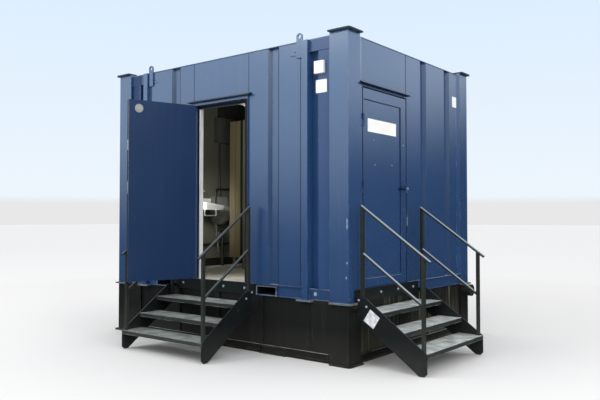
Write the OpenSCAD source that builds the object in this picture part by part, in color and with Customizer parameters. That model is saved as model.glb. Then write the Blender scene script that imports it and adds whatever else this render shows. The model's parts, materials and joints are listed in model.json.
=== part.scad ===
// Portable site toilet cabin on a waste tank, with two doors and two bolt-on stairs.
// Millimetres, +Z up. The origin is the centre of the tank's floor, on the ground.
// +X runs along the long front towards the end with the second door, -Y faces the front.

/* [Cabin] */
// Length of the cabin over its corner posts
cabin_l = 3200; // [2800:10:4800]
// Width of the cabin over its corner posts
cabin_w = 2440; // [2300:10:3000]
// Height of the corner posts above the tank
cabin_h = 2380; // [2250:5:2900]
// Face width of a corner post on the long sides
post_long = 200; // [160:5:240]
// Face width of a corner post on the ends
post_end = 190; // [160:5:220]
// Height of the rail round the cabin's base
rail_h = 110; // [90:1:140]
// Steel thickness of the base rail
rail_t = 6; // [4:1:10]
// Depth of the base rail's flanges
rail_d = 32; // [28:1:40]
// How far the wall face lies behind the posts' face
wall_set = 20; // [5:1:26]
// Thickness of an insulated wall
wall_t = 60; // [50:1:90]
// Width of a swage pressed into a wall
swage_w = 130; // [80:1:160]
// Depth of a swage
swage_d = 34; // [15:1:40]
// Width of a swage's sloping side
swage_slope = 25; // [15:1:35]
// Distance between the swages of the plain walls
swage_pitch = 548; // [400:1:640]
// Distance of the front wall's swages from their middle
front_swage = 691; // [640:1:700]
// How far the middle of the front swages lies from the middle of the door
front_swage_shift = 21; // [0:1:40]
// Distance of the end wall's first swage from the door frame
end_swage_in = 301; // [150:1:320]
// Thickness of the lining boards
lining_t = 9; // [6:1:15]
// Thickness of the floor
floor_t = 18; // [12:1:24]
// Thickness of the roof plate
roof_t = 6; // [4:1:10]
// Depth of the insulated ceiling under the roof plate
ceiling_d = 80; // [50:1:120]
// How far the roof lies below the tops of the posts
roof_drop = 17; // [10:1:60]

/* [Corner fittings] */
// Thickness of the corner plates
plate_t = 14; // [8:1:20]
// Overhang of the corner plates outside the posts
plate_over = 34; // [15:1:40]
// How far the plate under a leg's guide reaches to its sides
guide_foot = 45; // [20:1:60]
// Radius of a corner plate's outer corner
plate_r = 28; // [10:1:32]
// Length of the lashing slot in a top plate
slot_l = 60; // [40:1:80]
// Width of the lashing slot
slot_w = 14; // [10:1:16]
// Distance of the lashing slot outside the posts' face
slot_out = 13; // [10:1:14]

/* [Jack legs] */
// Distance of the recess's inner edge from the cabin's end
recess_end = 504; // [460:2:560]
// Depth of the recess behind the posts' face
recess_d = 72; // [60:1:76]
// Width of a leg's guide
guide_w = 66; // [50:1:80]
// How far a guide stands out from the posts' face
guide_out = 12; // [5:1:20]
// Width of a jack leg
leg_w = 125; // [80:1:140]
// Gap between a jack leg and its corner post
leg_gap = 15; // [8:1:40]
// Depth of a jack leg
leg_d = 46; // [30:1:50]
// Depth of the rail over the recess
head_h = 110; // [80:1:140]
// Inside radius of a lifting eye
eye_r = 18; // [14:1:22]
// Width of metal round a lifting eye
eye_rim = 16; // [12:1:20]
// Thickness of a lifting eye's plate
eye_t = 15; // [10:1:20]
// Length of a lifting eye's plate on the wall
eye_tail = 150; // [110:5:200]
// Height of a lifting eye's middle over the roof
eye_up = 40; // [36:1:50]
// Distance of a lifting eye's plate from the recess
eye_in = 6; // [2:1:20]
// Width of the power inlet on the near leg
inlet_w = 104; // [70:2:120]
// Height of the power inlet
inlet_h = 112; // [70:2:140]
// Depth of the power inlet
inlet_d = 28; // [20:1:40]
// Distance of the power inlet below the roof plate
inlet_down = 210; // [180:5:400]
// How far the middle of the power inlet lies from the middle of its leg
inlet_shift = 40; // [0:1:44]

/* [Fork pockets] */
// Width of a fork pocket
fork_w = 252; // [180:2:300]
// Wall of a fork pocket
fork_t = 6; // [4:1:10]
// Distance between the middles of the two pockets
fork_pitch = 1460; // [1200:10:1520]
// How far the pair lies from the middle of the cabin
fork_shift = -70; // [-100:5:0]

/* [Front door] */
// Middle of the front doorway along the front
front_door_x = 19; // [-50:1:120]
// Clear width of the front doorway
front_clear_w = 634; // [560:1:680]

/* [End door] */
// Width of the frame between the near corner post and the end doorway
end_jamb = 85; // [72:1:110]
// Clear width of the end doorway
end_clear_w = 690; // [600:5:700]

/* [Both doors] */
// Clear height of a doorway over the floor
clear_h = 1765; // [1700:5:2000]
// Thickness of a door leaf
leaf_t = 45; // [35:1:50]
// How far a leaf laps over its frame at the hinges
lap_hinge = 32; // [25:1:40]
// How far a leaf laps over its frame at the lock
lap_lock = 46; // [30:1:60]
// How far a leaf laps over the frame's head
lap_head = 24; // [15:1:40]
// Gap round a leaf
leaf_gap = 5; // [5:0.5:8]
// Width of a frame's jamb beside the leaf
jamb_w = 28; // [20:1:30]
// How far a frame stands out from the wall
frame_out = 16; // [8:1:18]
// Band round the sunk panel of a leaf
leaf_band = 95; // [60:5:120]
// Depth of the sunk panel
panel_d = 8; // [2:1:12]
// Band beside the sunk panel at the hinges
hinge_band = 12; // [8:1:40]
// Angle that the front door stands open in the frame's rest pose
front_open = 109; // [0:1:110]
// Radius of a hinge knuckle
knuckle_r = 9; // [8:0.5:9.5]
// Radius of a hinge pin
pin_r = 5; // [4:0.5:6]
// Height of one hinge knuckle
knuckle_h = 55; // [40:1:80]
// Length of a hinge's strap on the leaf
strap_l = 70; // [50:1:100]
// Thickness of a hinge's strap
strap_t = 5; // [3:0.5:6]
// Width and height of a lock
lock_w = 72; // [50:1:80]
// Thickness of a lock's plate
lock_t = 9; // [5:1:12]
// Distance of a lock from the leaf's edge
lock_in = 8; // [5:1:20]
// Reach of a door handle from the lock's plate
handle_out = 27; // [20:1:40]
// Length of a door handle
handle_l = 72; // [60:1:120]
// Radius of a door handle's spindle
spindle_r = 9; // [6:1:10]
// Radius of the stop on the front leaf
bumper_r = 42; // [30:1:45]
// Distance of the stop from the leaf's lapping edges
bumper_in = 12; // [5:1:30]
// Thickness of the stop
bumper_t = 14; // [8:1:20]
// Length of the strip over a doorway
drip_l = 860; // [850:5:900]
// Depth of the strip over a doorway
drip_h = 26; // [15:1:35]
// How far the strip stands out from the posts' face
drip_out = 34; // [20:1:45]
// Steel thickness of the strip
drip_t = 5; // [3:1:8]
// How far the end door's strip lies from the middle of its doorway
drip_shift = 8; // [0:1:20]

/* [Stairs] */
// Width of a stair over its stringers
stair_w = 1130; // [1000:10:1140]
// Thickness of a stringer
stringer_t = 10; // [6:1:14]
// Middle of the front stair along the front
front_stair_x = -45; // [-60:5:0]
// How far the middle of the end stair lies from the middle of its doorway
end_stair_shift = 34; // [0:1:40]
// Height of the lowest tread
first_rise = 184; // [160:1:195]
// Height from one tread to the next
rise = 147; // [130:1:160]
// Distance from one tread's nose to the next
going = 208; // [190:1:230]
// Depth of a tread
tread_d = 245; // [220:5:260]
// Gap between the top tread and the cabin
stair_gap = 31; // [20:1:60]
// Height of a tread's folded lip
tread_lip = 36; // [25:1:50]
// Thickness of a tread's plate
tread_t = 6; // [4:1:8]
// Depth of a stringer, measured upright
stringer_h = 215; // [205:5:240]
// How far the stringers lap up the hanger plate from the tank's top
stringer_lap = 45; // [30:1:60]
// Gap between a stringer and the cabin's corner plate
stringer_clear = 4; // [2:1:10]
// Bevel at a stringer's toe
toe_cut = 25; // [10:1:30]
// Thickness of the plate that hangs the stair on the cabin
hanger_t = 12; // [8:1:16]
// Height of that plate
hanger_h = 100; // [80:1:104]
// Distance of that plate's top below the cabin floor
hanger_down = 2; // [1:0.5:5]
// Width of a handrail's square posts
tube = 28; // [26:1:40]
// Radius of a handrail's rails
rail_r = 13; // [10:0.5:13]
// Height of the top rail over the lowest tread at the front post
rail_up = 791; // [700:1:900]
// Distance of the middle rail below the top rail
rail_mid = 400; // [300:4:420]
// How far the top rail runs past the front post
rail_past = 60; // [30:1:80]
// Distance of the front post behind the lowest nose
post_back = 37; // [30:1:60]
// Distance of the back post from the cabin
post_in = 70; // [60:1:100]

/* [Tank] */
// Height of the tank
tank_h = 545; // [450:5:700]
// Steel thickness of the tank
tank_t = 6; // [4:1:10]
// How far the tank's sheets lie behind its posts
tank_set = 22; // [18:1:26]
// Face width of a tank post
tank_post = 186; // [150:2:220]
// Height of the rail round the tank's foot
tank_rail_h = 85; // [80:1:110]
// Height of that rail's lower edge
tank_rail_up = 26; // [15:1:40]
// Width of a rib on the tank's sheets
tank_rib_w = 66; // [50:1:100]
// How far a rib stands out from the tank's sheets
tank_rib_d = 16; // [8:1:17]
// Distance between the ribs
tank_rib_pitch = 585; // [480:5:640]
// Width of a lifting pocket in the tank's foot rail
notch_w = 300; // [240:5:340]
// Height of a lifting pocket
notch_h = 64; // [40:1:64]
// Steel round a lifting pocket
notch_t = 8; // [6:1:12]
// Radius of the drain outlet
outlet_r = 55; // [40:1:70]
// Distance of the drain outlet from the tank's back
outlet_in = 110; // [90:5:160]
// Gap between the drain outlet and the cabin's corner plate
outlet_gap = 6; // [4:1:100]
// Length of the drain outlet's neck
outlet_neck = 60; // [40:1:80]
// Length of the drain outlet's cap
outlet_cap = 40; // [30:1:60]
// How far the cap stands out round the neck
outlet_rim = 10; // [6:1:16]

/* [Inside] */
// Place of the partition along the width
partition_y = 20; // [0:5:100]
// Distance of the partition's free edge from the left lining
partition_in = 480; // [450:5:700]
// Gap under the partition
partition_up = 137; // [80:1:180]
// Height of the partition
partition_h = 1700; // [1500:10:1760]
// Thickness of the partition
partition_t = 18; // [12:1:25]
// Height of the basin's rim over the floor
basin_z = 880; // [780:5:950]
// Width of the basin
basin_w = 400; // [350:5:440]
// Reach of the basin from the wall
basin_d = 340; // [280:5:400]
// Middle of the basin along the width
basin_y = -85; // [-300:5:-60]
// Middle of the urinal along the width
urinal_y = 300; // [270:5:400]
// Height of the urinal's rim over the floor
urinal_z = 700; // [600:5:760]
// Middle of the cistern along the width
cistern_y = 495; // [450:5:500]
// Width of the cistern
cistern_w = 440; // [420:5:480]
// Height of the cistern
cistern_h = 190; // [150:5:240]
// Depth of the cistern
cistern_d = 130; // [100:5:160]
// Distance of the cistern below the ceiling
cistern_down = 24; // [10:1:60]
// Width of the partition's legs
partition_leg = 30; // [20:1:50]
// Distance of the first leg from the partition's free edge
partition_leg_in = 60; // [30:1:120]

/* [Hidden] */
$fn = 48;

navy = "#2c4678";
navy_dark = "#22365e";
black = "#2a2b29";
rail_grey = "#41474a";
tread_grey = "#8b9091";
white = "#e8e8e4";
olive = "#8d8c78";
beige = "#c9b48e";

// Levels
tank_top = tank_h;
floor_z = tank_h + rail_h;
post_top = tank_h + cabin_h;
roof_z = post_top - roof_drop;
wall_top = roof_z - roof_t;
ceiling_z = wall_top - ceiling_d;
// Depths behind the posts' face
wall_in = wall_set + wall_t;
room_in = wall_in + lining_t;
// Door sizes that follow from the clear opening
frame_y = wall_set - frame_out;
leaf_h = clear_h + lap_head;
leaf_z = floor_z + leaf_gap;
frame_top = floor_z + clear_h + lap_head + leaf_gap + jamb_w + leaf_gap;
front_left = front_door_x - front_clear_w / 2;
front_right = front_door_x + front_clear_w / 2;
end_left = post_end - cabin_w / 2 + end_jamb;
end_right = end_left + end_clear_w;
end_door_y = (end_left + end_right) / 2;
axis_in = 2;
axis_out = 10;
frame_lo = lap_hinge + leaf_gap + jamb_w;
frame_hi = lap_lock + leaf_gap + jamb_w;
hinge_levels = [0.10, 0.5, 0.84];
lock_level = 0.52;
// Stair sizes that follow from the rise and going
treads = 3;
stair_run = going * (treads - 1) + tread_d;
pitch = rise / going;
stringer_top = tank_h + stringer_lap;
end_stair_y = end_door_y + end_stair_shift;
// Lowest nose, measured out from the posts' face
nose = stair_run + stair_gap;
fork_h = rail_h - rail_t - floor_t;

// Puts a face's own frame on one of the four sides: u along the face, -y outwards
module on_front() { translate([0, -cabin_w / 2, 0]) children(); }
module on_end() { translate([cabin_l / 2, 0, 0]) rotate(90) children(); }
module on_back() { translate([0, cabin_w / 2, 0]) rotate(180) children(); }
module on_left() { translate([-cabin_l / 2, 0, 0]) rotate(-90) children(); }

// Repeats a piece made at the front left corner on all four corners
module four_corners(l, w) {
    for (sx = [0, 1], sy = [0, 1])
        mirror([sx, 0, 0]) mirror([0, sy, 0]) translate([-l / 2, -w / 2, 0]) children();
}

// A box given by its two corners
module block(lo, hi) { translate(lo) cube(hi - lo); }

// A profile drawn in (out, z) and run along the face from u0 to u1
module across(u0, u1) { translate([u1, 0, 0]) rotate([90, 0, -90]) linear_extrude(u1 - u0) children(); }

// The outer line of a pressed sheet, with swages of depth d sunk at the given places
function sheet_line(u0, u1, y, places, w, d, slope) = concat(
    [[u0, y]],
    [for (c = places) each [[c - w / 2, y], [c - w / 2 + slope, y + d],
        [c + w / 2 - slope, y + d], [c + w / 2, y]]],
    [[u1, y]]
);
// Places of evenly spaced swages on a plain wall
function even_places(span, pitch) = let (n = floor((span - swage_w) / pitch))
    [for (i = [0 : n]) (i - n / 2) * pitch];

// An insulated wall: pressed steel outside, flat inside
module wall_panel(u0, u1, z0, z1, places) {
    translate([0, 0, z0]) linear_extrude(z1 - z0)
        polygon(concat(sheet_line(u0, u1, wall_set, places, swage_w, swage_d, swage_slope),
            [[u1, wall_in], [u0, wall_in]]));
}

// A tank sheet with ribs that stand on the foot rail
module tank_sheet(half, places) {
    top = tank_h - tank_t;
    block([-half, tank_set, tank_t], [half, tank_set + tank_t, top]);
    for (c = places)
        block([c - tank_rib_w / 2, tank_set - tank_rib_d, tank_rail_h], [c + tank_rib_w / 2, tank_set, top]);
}

// A corner plate in plan, with its outer corner rounded
module corner_plate_2d(long, end, reach) {
    translate([-plate_over, -plate_over]) {
        translate([plate_r, plate_r]) circle(plate_r);
        translate([plate_r, 0]) square([long + plate_over - plate_r, reach + plate_over]);
        translate([0, plate_r]) square([reach + plate_over, end + plate_over - plate_r]);
    }
}

// Tank

module tank_floor() {
    color(black) translate([0, 0, tank_t / 2])
        cube([cabin_l - 2 * tank_set, cabin_w - 2 * tank_set, tank_t], center = true);
}

module tank_deck() {
    color(black) translate([0, 0, tank_h - tank_t / 2])
        cube([cabin_l - 2 * tank_set, cabin_w - 2 * tank_set, tank_t], center = true);
}

module tank_side_walls() {
    places = [for (i = [-1 : 1]) i * tank_rib_pitch];
    half = cabin_l / 2 - tank_set;
    color(black) {
        on_front() tank_sheet(half, places);
        on_back() tank_sheet(half, places);
    }
}

module tank_end_walls() {
    places = [-tank_rib_pitch / 2, tank_rib_pitch / 2];
    half = cabin_w / 2 - tank_set - tank_t;
    color(black) {
        on_end() tank_sheet(half, places);
        on_left() tank_sheet(half, places);
    }
}

// Corner posts, each with a cover sheet along the long side over the foot rail
module tank_corner_posts() {
    cover = recess_end - guide_w - guide_foot;
    color(black) four_corners(cabin_l, cabin_w) {
        translate([0, 0, plate_t]) linear_extrude(tank_h - 2 * plate_t)
            polygon([[0, 0], [tank_post, 0], [tank_post, tank_set], [tank_set, tank_set],
                [tank_set, tank_post], [0, tank_post]]);
        block([tank_post, 0, tank_rail_h], [cover, tank_set, tank_h - plate_t]);
    }
}

// A foot rail with lifting pockets that reach the ground
module tank_foot_rail(half, pockets) {
    difference() {
        union() {
            block([-half, 0, tank_rail_up], [half, tank_set, tank_rail_h]);
            for (c = pockets)
                block([c - notch_w / 2 - notch_t, 0, 0], [c + notch_w / 2 + notch_t, tank_set, tank_rail_h]);
        }
        for (c = pockets)
            block([c - notch_w / 2, -1, notch_t], [c + notch_w / 2, tank_set + 1, notch_t + notch_h]);
    }
}

module tank_foot_rails() {
    pockets = [-fork_pitch / 2, fork_pitch / 2];
    color(black) {
        on_front() tank_foot_rail(cabin_l / 2 - tank_post, pockets);
        on_back() tank_foot_rail(cabin_l / 2 - tank_post, pockets);
        on_end() tank_foot_rail(cabin_w / 2 - tank_post, []);
        on_left() tank_foot_rail(cabin_w / 2 - tank_post, []);
    }
}

module tank_feet() {
    color(black) four_corners(cabin_l, cabin_w)
        linear_extrude(plate_t) corner_plate_2d(tank_post, tank_post, tank_set);
}

// Capped drain at the far end of the tank
module tank_outlet() {
    level = tank_h - plate_t - outlet_gap - outlet_r;
    color(black) on_end() translate([cabin_w / 2 - outlet_in, 0, level]) rotate([90, 0, 0]) {
        cylinder(r = outlet_r, h = outlet_neck);
        translate([0, 0, outlet_neck]) cylinder(r = outlet_r + outlet_rim, h = outlet_cap);
    }
}

// Cabin frame

// A base rail: a channel that opens outwards
module base_rail(half, pockets) {
    difference() {
        across(-half, half) polygon([[0, tank_h], [0, tank_h + rail_t], [rail_t - rail_d, tank_h + rail_t],
            [rail_t - rail_d, floor_z - rail_t], [0, floor_z - rail_t], [0, floor_z],
            [-rail_d, floor_z], [-rail_d, tank_h]]);
        for (c = pockets)
            block([c - fork_w / 2, -1, tank_h + rail_t], [c + fork_w / 2, rail_d + 1, tank_h + rail_t + fork_h]);
    }
}

module base_rails() {
    pockets = [fork_shift - fork_pitch / 2, fork_shift + fork_pitch / 2];
    color(navy) {
        on_front() base_rail(cabin_l / 2 - recess_end, pockets);
        on_back() base_rail(cabin_l / 2 - recess_end, -pockets);
        on_end() base_rail(cabin_w / 2 - post_end, []);
        on_left() base_rail(cabin_w / 2 - post_end, []);
    }
}

module fork_pockets() {
    color(navy_dark) for (s = [-1, 1])
        translate([fork_shift + s * fork_pitch / 2, 0, tank_h + rail_t + fork_h / 2]) difference() {
            cube([fork_w, cabin_w, fork_h], center = true);
            cube([fork_w - 2 * fork_t, cabin_w + 2, fork_h - 2 * fork_t], center = true);
        }
}

module cabin_floor() {
    color(olive) difference() {
        block([rail_d - cabin_l / 2, rail_d - cabin_w / 2, floor_z - floor_t],
            [cabin_l / 2 - rail_d, cabin_w / 2 - rail_d, floor_z]);
        four_corners(cabin_l, cabin_w) {
            block([0, 0, 0], [recess_end, wall_in, floor_z + 1]);
            block([0, 0, 0], [wall_in, post_end, floor_z + 1]);
        }
    }
}

module corner_posts() {
    color(navy) four_corners(cabin_l, cabin_w)
        translate([0, 0, tank_h]) linear_extrude(cabin_h)
            polygon([[0, 0], [post_long, 0], [post_long, wall_in], [wall_in, wall_in],
                [wall_in, post_end], [0, post_end]]);
}

module bottom_corner_plates() {
    color(navy) four_corners(cabin_l, cabin_w)
        translate([0, 0, tank_h - plate_t]) linear_extrude(plate_t) {
            corner_plate_2d(tank_post, tank_post, tank_set);
            translate([recess_end - guide_w - guide_foot, -plate_over])
                square([guide_w + 2 * guide_foot, plate_over + tank_set]);
        }
}

module top_corner_plates() {
    color(navy) four_corners(cabin_l, cabin_w) translate([0, 0, post_top]) linear_extrude(plate_t)
        difference() {
            corner_plate_2d(post_long, post_end, wall_in);
            translate([post_long / 2, -slot_out]) square([slot_l, slot_w], center = true);
            translate([-slot_out, post_end / 2]) square([slot_w, slot_l], center = true);
        }
}

// Walls and roof

front_middle = front_door_x + front_swage_shift;
front_places = [front_middle - front_swage, front_middle + front_swage];

module front_wall_left() {
    color(navy) on_front() wall_panel(recess_end - cabin_l / 2, front_left - frame_lo,
        floor_z, wall_top, [front_places[0]]);
}

module front_wall_right() {
    color(navy) on_front() wall_panel(front_right + frame_hi, cabin_l / 2 - recess_end,
        floor_z, wall_top, [front_places[1]]);
}

module front_wall_over_door() {
    color(navy) on_front()
        wall_panel(front_left - frame_lo, front_right + frame_hi, frame_top, wall_top, []);
}

module end_wall_far() {
    u1 = cabin_w / 2 - post_end;
    first = end_right + frame_hi + end_swage_in + swage_w / 2;
    color(navy) on_end() wall_panel(end_right + frame_hi, u1, floor_z, wall_top,
        [for (c = [first : swage_pitch : u1 - swage_w / 2]) c]);
}

module end_wall_over_door() {
    color(navy) on_end() wall_panel(end_left - end_jamb, end_right + frame_hi, frame_top, wall_top, []);
}

module back_wall() {
    half = cabin_l / 2 - recess_end;
    color(navy) on_back() wall_panel(-half, half, floor_z, wall_top, even_places(2 * half, swage_pitch));
}

module left_wall() {
    half = cabin_w / 2 - post_end;
    color(navy) on_left() wall_panel(-half, half, floor_z, wall_top, even_places(2 * half, swage_pitch));
}

module roof() {
    color(navy) difference() {
        union() {
            block([wall_set - cabin_l / 2, wall_set - cabin_w / 2, wall_top],
                [cabin_l / 2 - wall_set, cabin_w / 2 - wall_set, roof_z]);
            block([wall_in - cabin_l / 2, wall_in - cabin_w / 2, ceiling_z],
                [cabin_l / 2 - wall_in, cabin_w / 2 - wall_in, roof_z]);
        }
        four_corners(cabin_l, cabin_w) {
            block([0, 0, 0], [post_long, wall_in, post_top]);
            block([0, 0, 0], [wall_in, post_end, post_top]);
        }
    }
}

// Jack legs

leg_middle = post_long + leg_gap + leg_w / 2;

module leg_recesses() {
    color(navy_dark) four_corners(cabin_l, cabin_w) {
        block([post_long, recess_d, tank_h], [recess_end, wall_in, wall_top]);
        block([post_long, wall_set, wall_top - head_h], [recess_end - guide_w, wall_in, wall_top]);
    }
}

module leg_guides() {
    color(navy) four_corners(cabin_l, cabin_w)
        block([recess_end - guide_w, -guide_out, tank_h], [recess_end, recess_d, wall_top]);
}

module jack_legs() {
    color(navy_dark) four_corners(cabin_l, cabin_w)
        block([leg_middle - leg_w / 2, recess_d - leg_d, tank_h],
            [leg_middle + leg_w / 2, recess_d, wall_top - head_h]);
}

module lifting_eyes() {
    outer = eye_r + eye_rim;
    color(navy) four_corners(cabin_l, cabin_w)
        translate([recess_end + outer + eye_in, wall_set - eye_t, 0]) difference() {
            union() {
                translate([0, 0, roof_z + eye_up]) rotate([-90, 0, 0]) cylinder(r = outer, h = eye_t);
                block([-outer, 0, wall_top - eye_tail], [outer, eye_t, roof_z + eye_up]);
            }
            translate([0, -1, roof_z + eye_up]) rotate([-90, 0, 0]) cylinder(r = eye_r, h = eye_t + 2);
        }
}

// Lining boards, a joint's width apart at the corners
module wall_lining() {
    joint = 1;
    half_l = cabin_l / 2 - room_in - joint;
    half_w = cabin_w / 2 - wall_in - joint;
    color(olive) {
        on_front() {
            block([-half_l, wall_in, floor_z], [front_left - frame_lo, room_in, ceiling_z]);
            block([front_right + frame_hi, wall_in, floor_z], [half_l, room_in, ceiling_z]);
            block([front_left - frame_lo + joint, wall_in, frame_top],
                [front_right + frame_hi - joint, room_in, ceiling_z]);
        }
        on_end() {
            block([end_right + frame_hi, wall_in, floor_z], [half_w, room_in, ceiling_z]);
            block([-half_w, wall_in, frame_top], [end_right + frame_hi - joint, room_in, ceiling_z]);
        }
        on_back() block([-half_l, wall_in, floor_z], [half_l, room_in, ceiling_z]);
        on_left() block([-half_w, wall_in, floor_z], [half_w, room_in, ceiling_z]);
    }
}

// Doors

// A rebated frame round a clear opening from u0 to u1
module door_frame(u0, u1, lo, hi) {
    difference() {
        block([u0 - lo, frame_y, floor_z], [u1 + hi, room_in, frame_top]);
        block([u0, frame_y - 1, floor_z - 1], [u1, room_in + 1, floor_z + clear_h]);
        block([u0 - lap_hinge - leaf_gap, frame_y - 1, floor_z - 1],
            [u1 + lap_lock + leaf_gap, frame_y + leaf_t + leaf_gap, leaf_z + leaf_h + leaf_gap]);
    }
}

// A leaf with a sunk panel in its outer face, hinged at its low u edge
module door_leaf(u0, u1) {
    a = u0 - lap_hinge;
    b = u1 + lap_lock;
    difference() {
        block([a, frame_y, leaf_z], [b, frame_y + leaf_t, leaf_z + leaf_h]);
        block([a + hinge_band, frame_y - 1, leaf_z + leaf_band],
            [b - leaf_band, frame_y + panel_d, leaf_z + leaf_h - leaf_band]);
    }
}

// The leaf's halves of the hinges
module door_knuckles(u0) {
    a = u0 - lap_hinge - axis_in;
    for (level = hinge_levels) translate([a, frame_y, leaf_z + level * leaf_h]) difference() {
        union() {
            translate([0, -axis_out, 0]) cylinder(r = knuckle_r, h = knuckle_h);
            block([0, -strap_t, 0], [strap_l, 0, knuckle_h]);
        }
        translate([0, -axis_out, -1]) cylinder(r = pin_r + 0.5, h = knuckle_h + 2);
    }
}

// The frame's halves of the hinges, with their pins
module hinge_pins(u0, strap) {
    gap = 1;
    a = u0 - lap_hinge - axis_in;
    for (level = hinge_levels) translate([a, frame_y, leaf_z + level * leaf_h]) {
        translate([0, -axis_out, -knuckle_h - gap]) cylinder(r = knuckle_r, h = knuckle_h);
        translate([0, -axis_out, -knuckle_h - gap]) cylinder(r = pin_r, h = 2 * knuckle_h + gap);
        block([-strap, -strap_t, -knuckle_h - gap], [0, 0, -gap]);
    }
}

// A lock box on the leaf with its handle
module door_lock(u1) {
    level = leaf_z + lock_level * leaf_h;
    b = u1 + lap_lock - lock_in;
    u = b - lock_w / 2;
    block([b - lock_w, frame_y - lock_t, level - lock_w / 2], [b, frame_y, level + lock_w / 2]);
    translate([u, frame_y, level]) rotate([90, 0, 0]) cylinder(r = spindle_r, h = lock_t + handle_out);
    block([u - spindle_r, frame_y - lock_t - handle_out, level - handle_l + spindle_r],
        [u + spindle_r, frame_y - handle_out, level + spindle_r]);
}

module drip_strips() {
    color(navy) {
        on_front() drip_strip(front_door_x);
        on_end() drip_strip(end_door_y + drip_shift);
    }
}

// A folded strip over a doorway that throws the rain off
module drip_strip(middle) {
    z = frame_top;
    across(middle - drip_l / 2, middle + drip_l / 2)
        polygon([[-wall_set, z], [drip_out, z], [drip_out, z + drip_t],
            [drip_t - wall_set, z + drip_h], [-wall_set, z + drip_h]]);
}

// Swings what is drawn closed about the front door's hinge line
module front_swing() {
    axis = [front_left - lap_hinge - axis_in, frame_y - axis_out, 0];
    on_front() translate(axis) rotate(-front_open) translate(-axis) children();
}

module front_door_frame() {
    color(navy) on_front() door_frame(front_left, front_right, frame_lo, frame_hi);
}

module front_door_leaf() { color(navy) front_swing() door_leaf(front_left, front_right); }
module front_door_knuckles() { color(navy) front_swing() door_knuckles(front_left); }
module front_door_lock() { color(rail_grey) front_swing() door_lock(front_right); }
module front_hinge_pins() { color(navy) on_front() hinge_pins(front_left, jamb_w); }

// A round rubber stop on the inside of the front leaf
module front_door_bumper() {
    color(white) front_swing()
        translate([front_right - bumper_r - bumper_in, frame_y + leaf_t,
            floor_z + clear_h - bumper_r - bumper_in])
            rotate([-90, 0, 0]) {
                cylinder(r = bumper_r, h = bumper_t / 2);
                cylinder(r = bumper_r - bumper_t, h = bumper_t);
            }
}

module end_door_frame() { color(navy) on_end() door_frame(end_left, end_right, end_jamb, frame_hi); }
module end_door_leaf() { color(navy) on_end() door_leaf(end_left, end_right); }
module end_door_knuckles() { color(navy) on_end() door_knuckles(end_left); }
module end_door_lock() { color(rail_grey) on_end() door_lock(end_right); }
module end_hinge_pins() { color(navy) on_end() hinge_pins(end_left, end_jamb - lap_hinge - axis_in); }

// A power inlet on the jack leg beside the near corner post
module supply_box() {
    face = recess_d - leg_d;
    middle = cabin_l / 2 - leg_middle - inlet_shift;
    color(white) on_front() translate([middle - inlet_w / 2, 0, wall_top - inlet_down])
        block([0, face - inlet_d, -inlet_h], [inlet_w, face, 0]);
}

// Stairs, drawn in a face's own frame about their middle u

function nose_out(i) = nose - i * going;
function tread_z(i) = first_rise + i * rise;
// Height of the stringers' upper edge
function stringer_edge(out) = first_rise + (nose - out) * pitch;

module stair_hanger(middle) {
    half = stair_w / 2;
    top = floor_z - hanger_down;
    block([middle - half, -hanger_t, top - hanger_h], [middle + half, 0, top]);
}

module stringer_2d() {
    toe = (stringer_h - first_rise) / pitch + toe_cut;
    // Clear of the cabin's corner plate
    rear = plate_over + stringer_clear;
    tab_z = floor_z - hanger_down - hanger_h;
    top_out = nose - (stringer_top - first_rise) / pitch;
    polygon([[hanger_t, stringer_top], [top_out, stringer_top], [nose, first_rise], [nose, toe_cut],
        [nose - toe_cut, 0], [nose - toe, 0], [rear, (nose - toe - rear) * pitch], [rear, tab_z],
        [hanger_t, tab_z]]);
}

module stair_stringers(middle) {
    half = stair_w / 2;
    across(middle - half, middle - half + stringer_t) stringer_2d();
    across(middle + half - stringer_t, middle + half) stringer_2d();
}

// A tread folded from plate, with a lip at the front and back
module stair_treads(middle) {
    half = stair_w / 2 - stringer_t;
    for (i = [0 : treads - 1]) across(middle - half, middle + half)
        translate([nose_out(i) - tread_d, tread_z(i)])
            polygon([[0, -tread_lip], [tread_t, -tread_lip], [tread_t, -tread_t], [tread_d - tread_t, -tread_t],
                [tread_d - tread_t, -tread_lip], [tread_d, -tread_lip], [tread_d, 0], [0, 0]]);
}

// One side's handrail about its own u: two square posts on the treads and two round rails
module handrail(u) {
    front = nose - post_back;
    line = first_rise + rail_up - rail_r;
    slope = atan(pitch);
    // A post on tread i at a distance from the cabin
    module post(out, i) {
        block([u - tube / 2, -out - tube / 2, tread_z(i)],
            [u + tube / 2, tube / 2 - out, line + (front - out) * pitch]);
    }
    // A rail from the back post, a drop below the top rail
    module rail(reach, drop) {
        start = post_in - tube / 2;
        translate([u, -start, line - drop + (front - start) * pitch]) rotate([90 + slope, 0, 0])
            cylinder(r = rail_r, h = (reach - start) / cos(slope));
    }
    post(front, 0);
    post(post_in, treads - 1);
    rail(front + rail_past, 0);
    rail(front, rail_mid);
}

module stair_handrails(middle) {
    side = stair_w / 2 - stringer_t - tube / 2;
    handrail(middle - side);
    handrail(middle + side);
}

module front_stair_hanger() { color(rail_grey) on_front() stair_hanger(front_stair_x); }
module front_stair_stringers() { color(rail_grey) on_front() stair_stringers(front_stair_x); }
module front_stair_treads() { color(tread_grey) on_front() stair_treads(front_stair_x); }
module front_stair_handrails() { color(rail_grey) on_front() stair_handrails(front_stair_x); }
module end_stair_hanger() { color(rail_grey) on_end() stair_hanger(end_stair_y); }
module end_stair_stringers() { color(rail_grey) on_end() stair_stringers(end_stair_y); }
module end_stair_treads() { color(tread_grey) on_end() stair_treads(end_stair_y); }
module end_stair_handrails() { color(rail_grey) on_end() stair_handrails(end_stair_y); }

// Inside

lining_x = room_in - cabin_l / 2;

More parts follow.
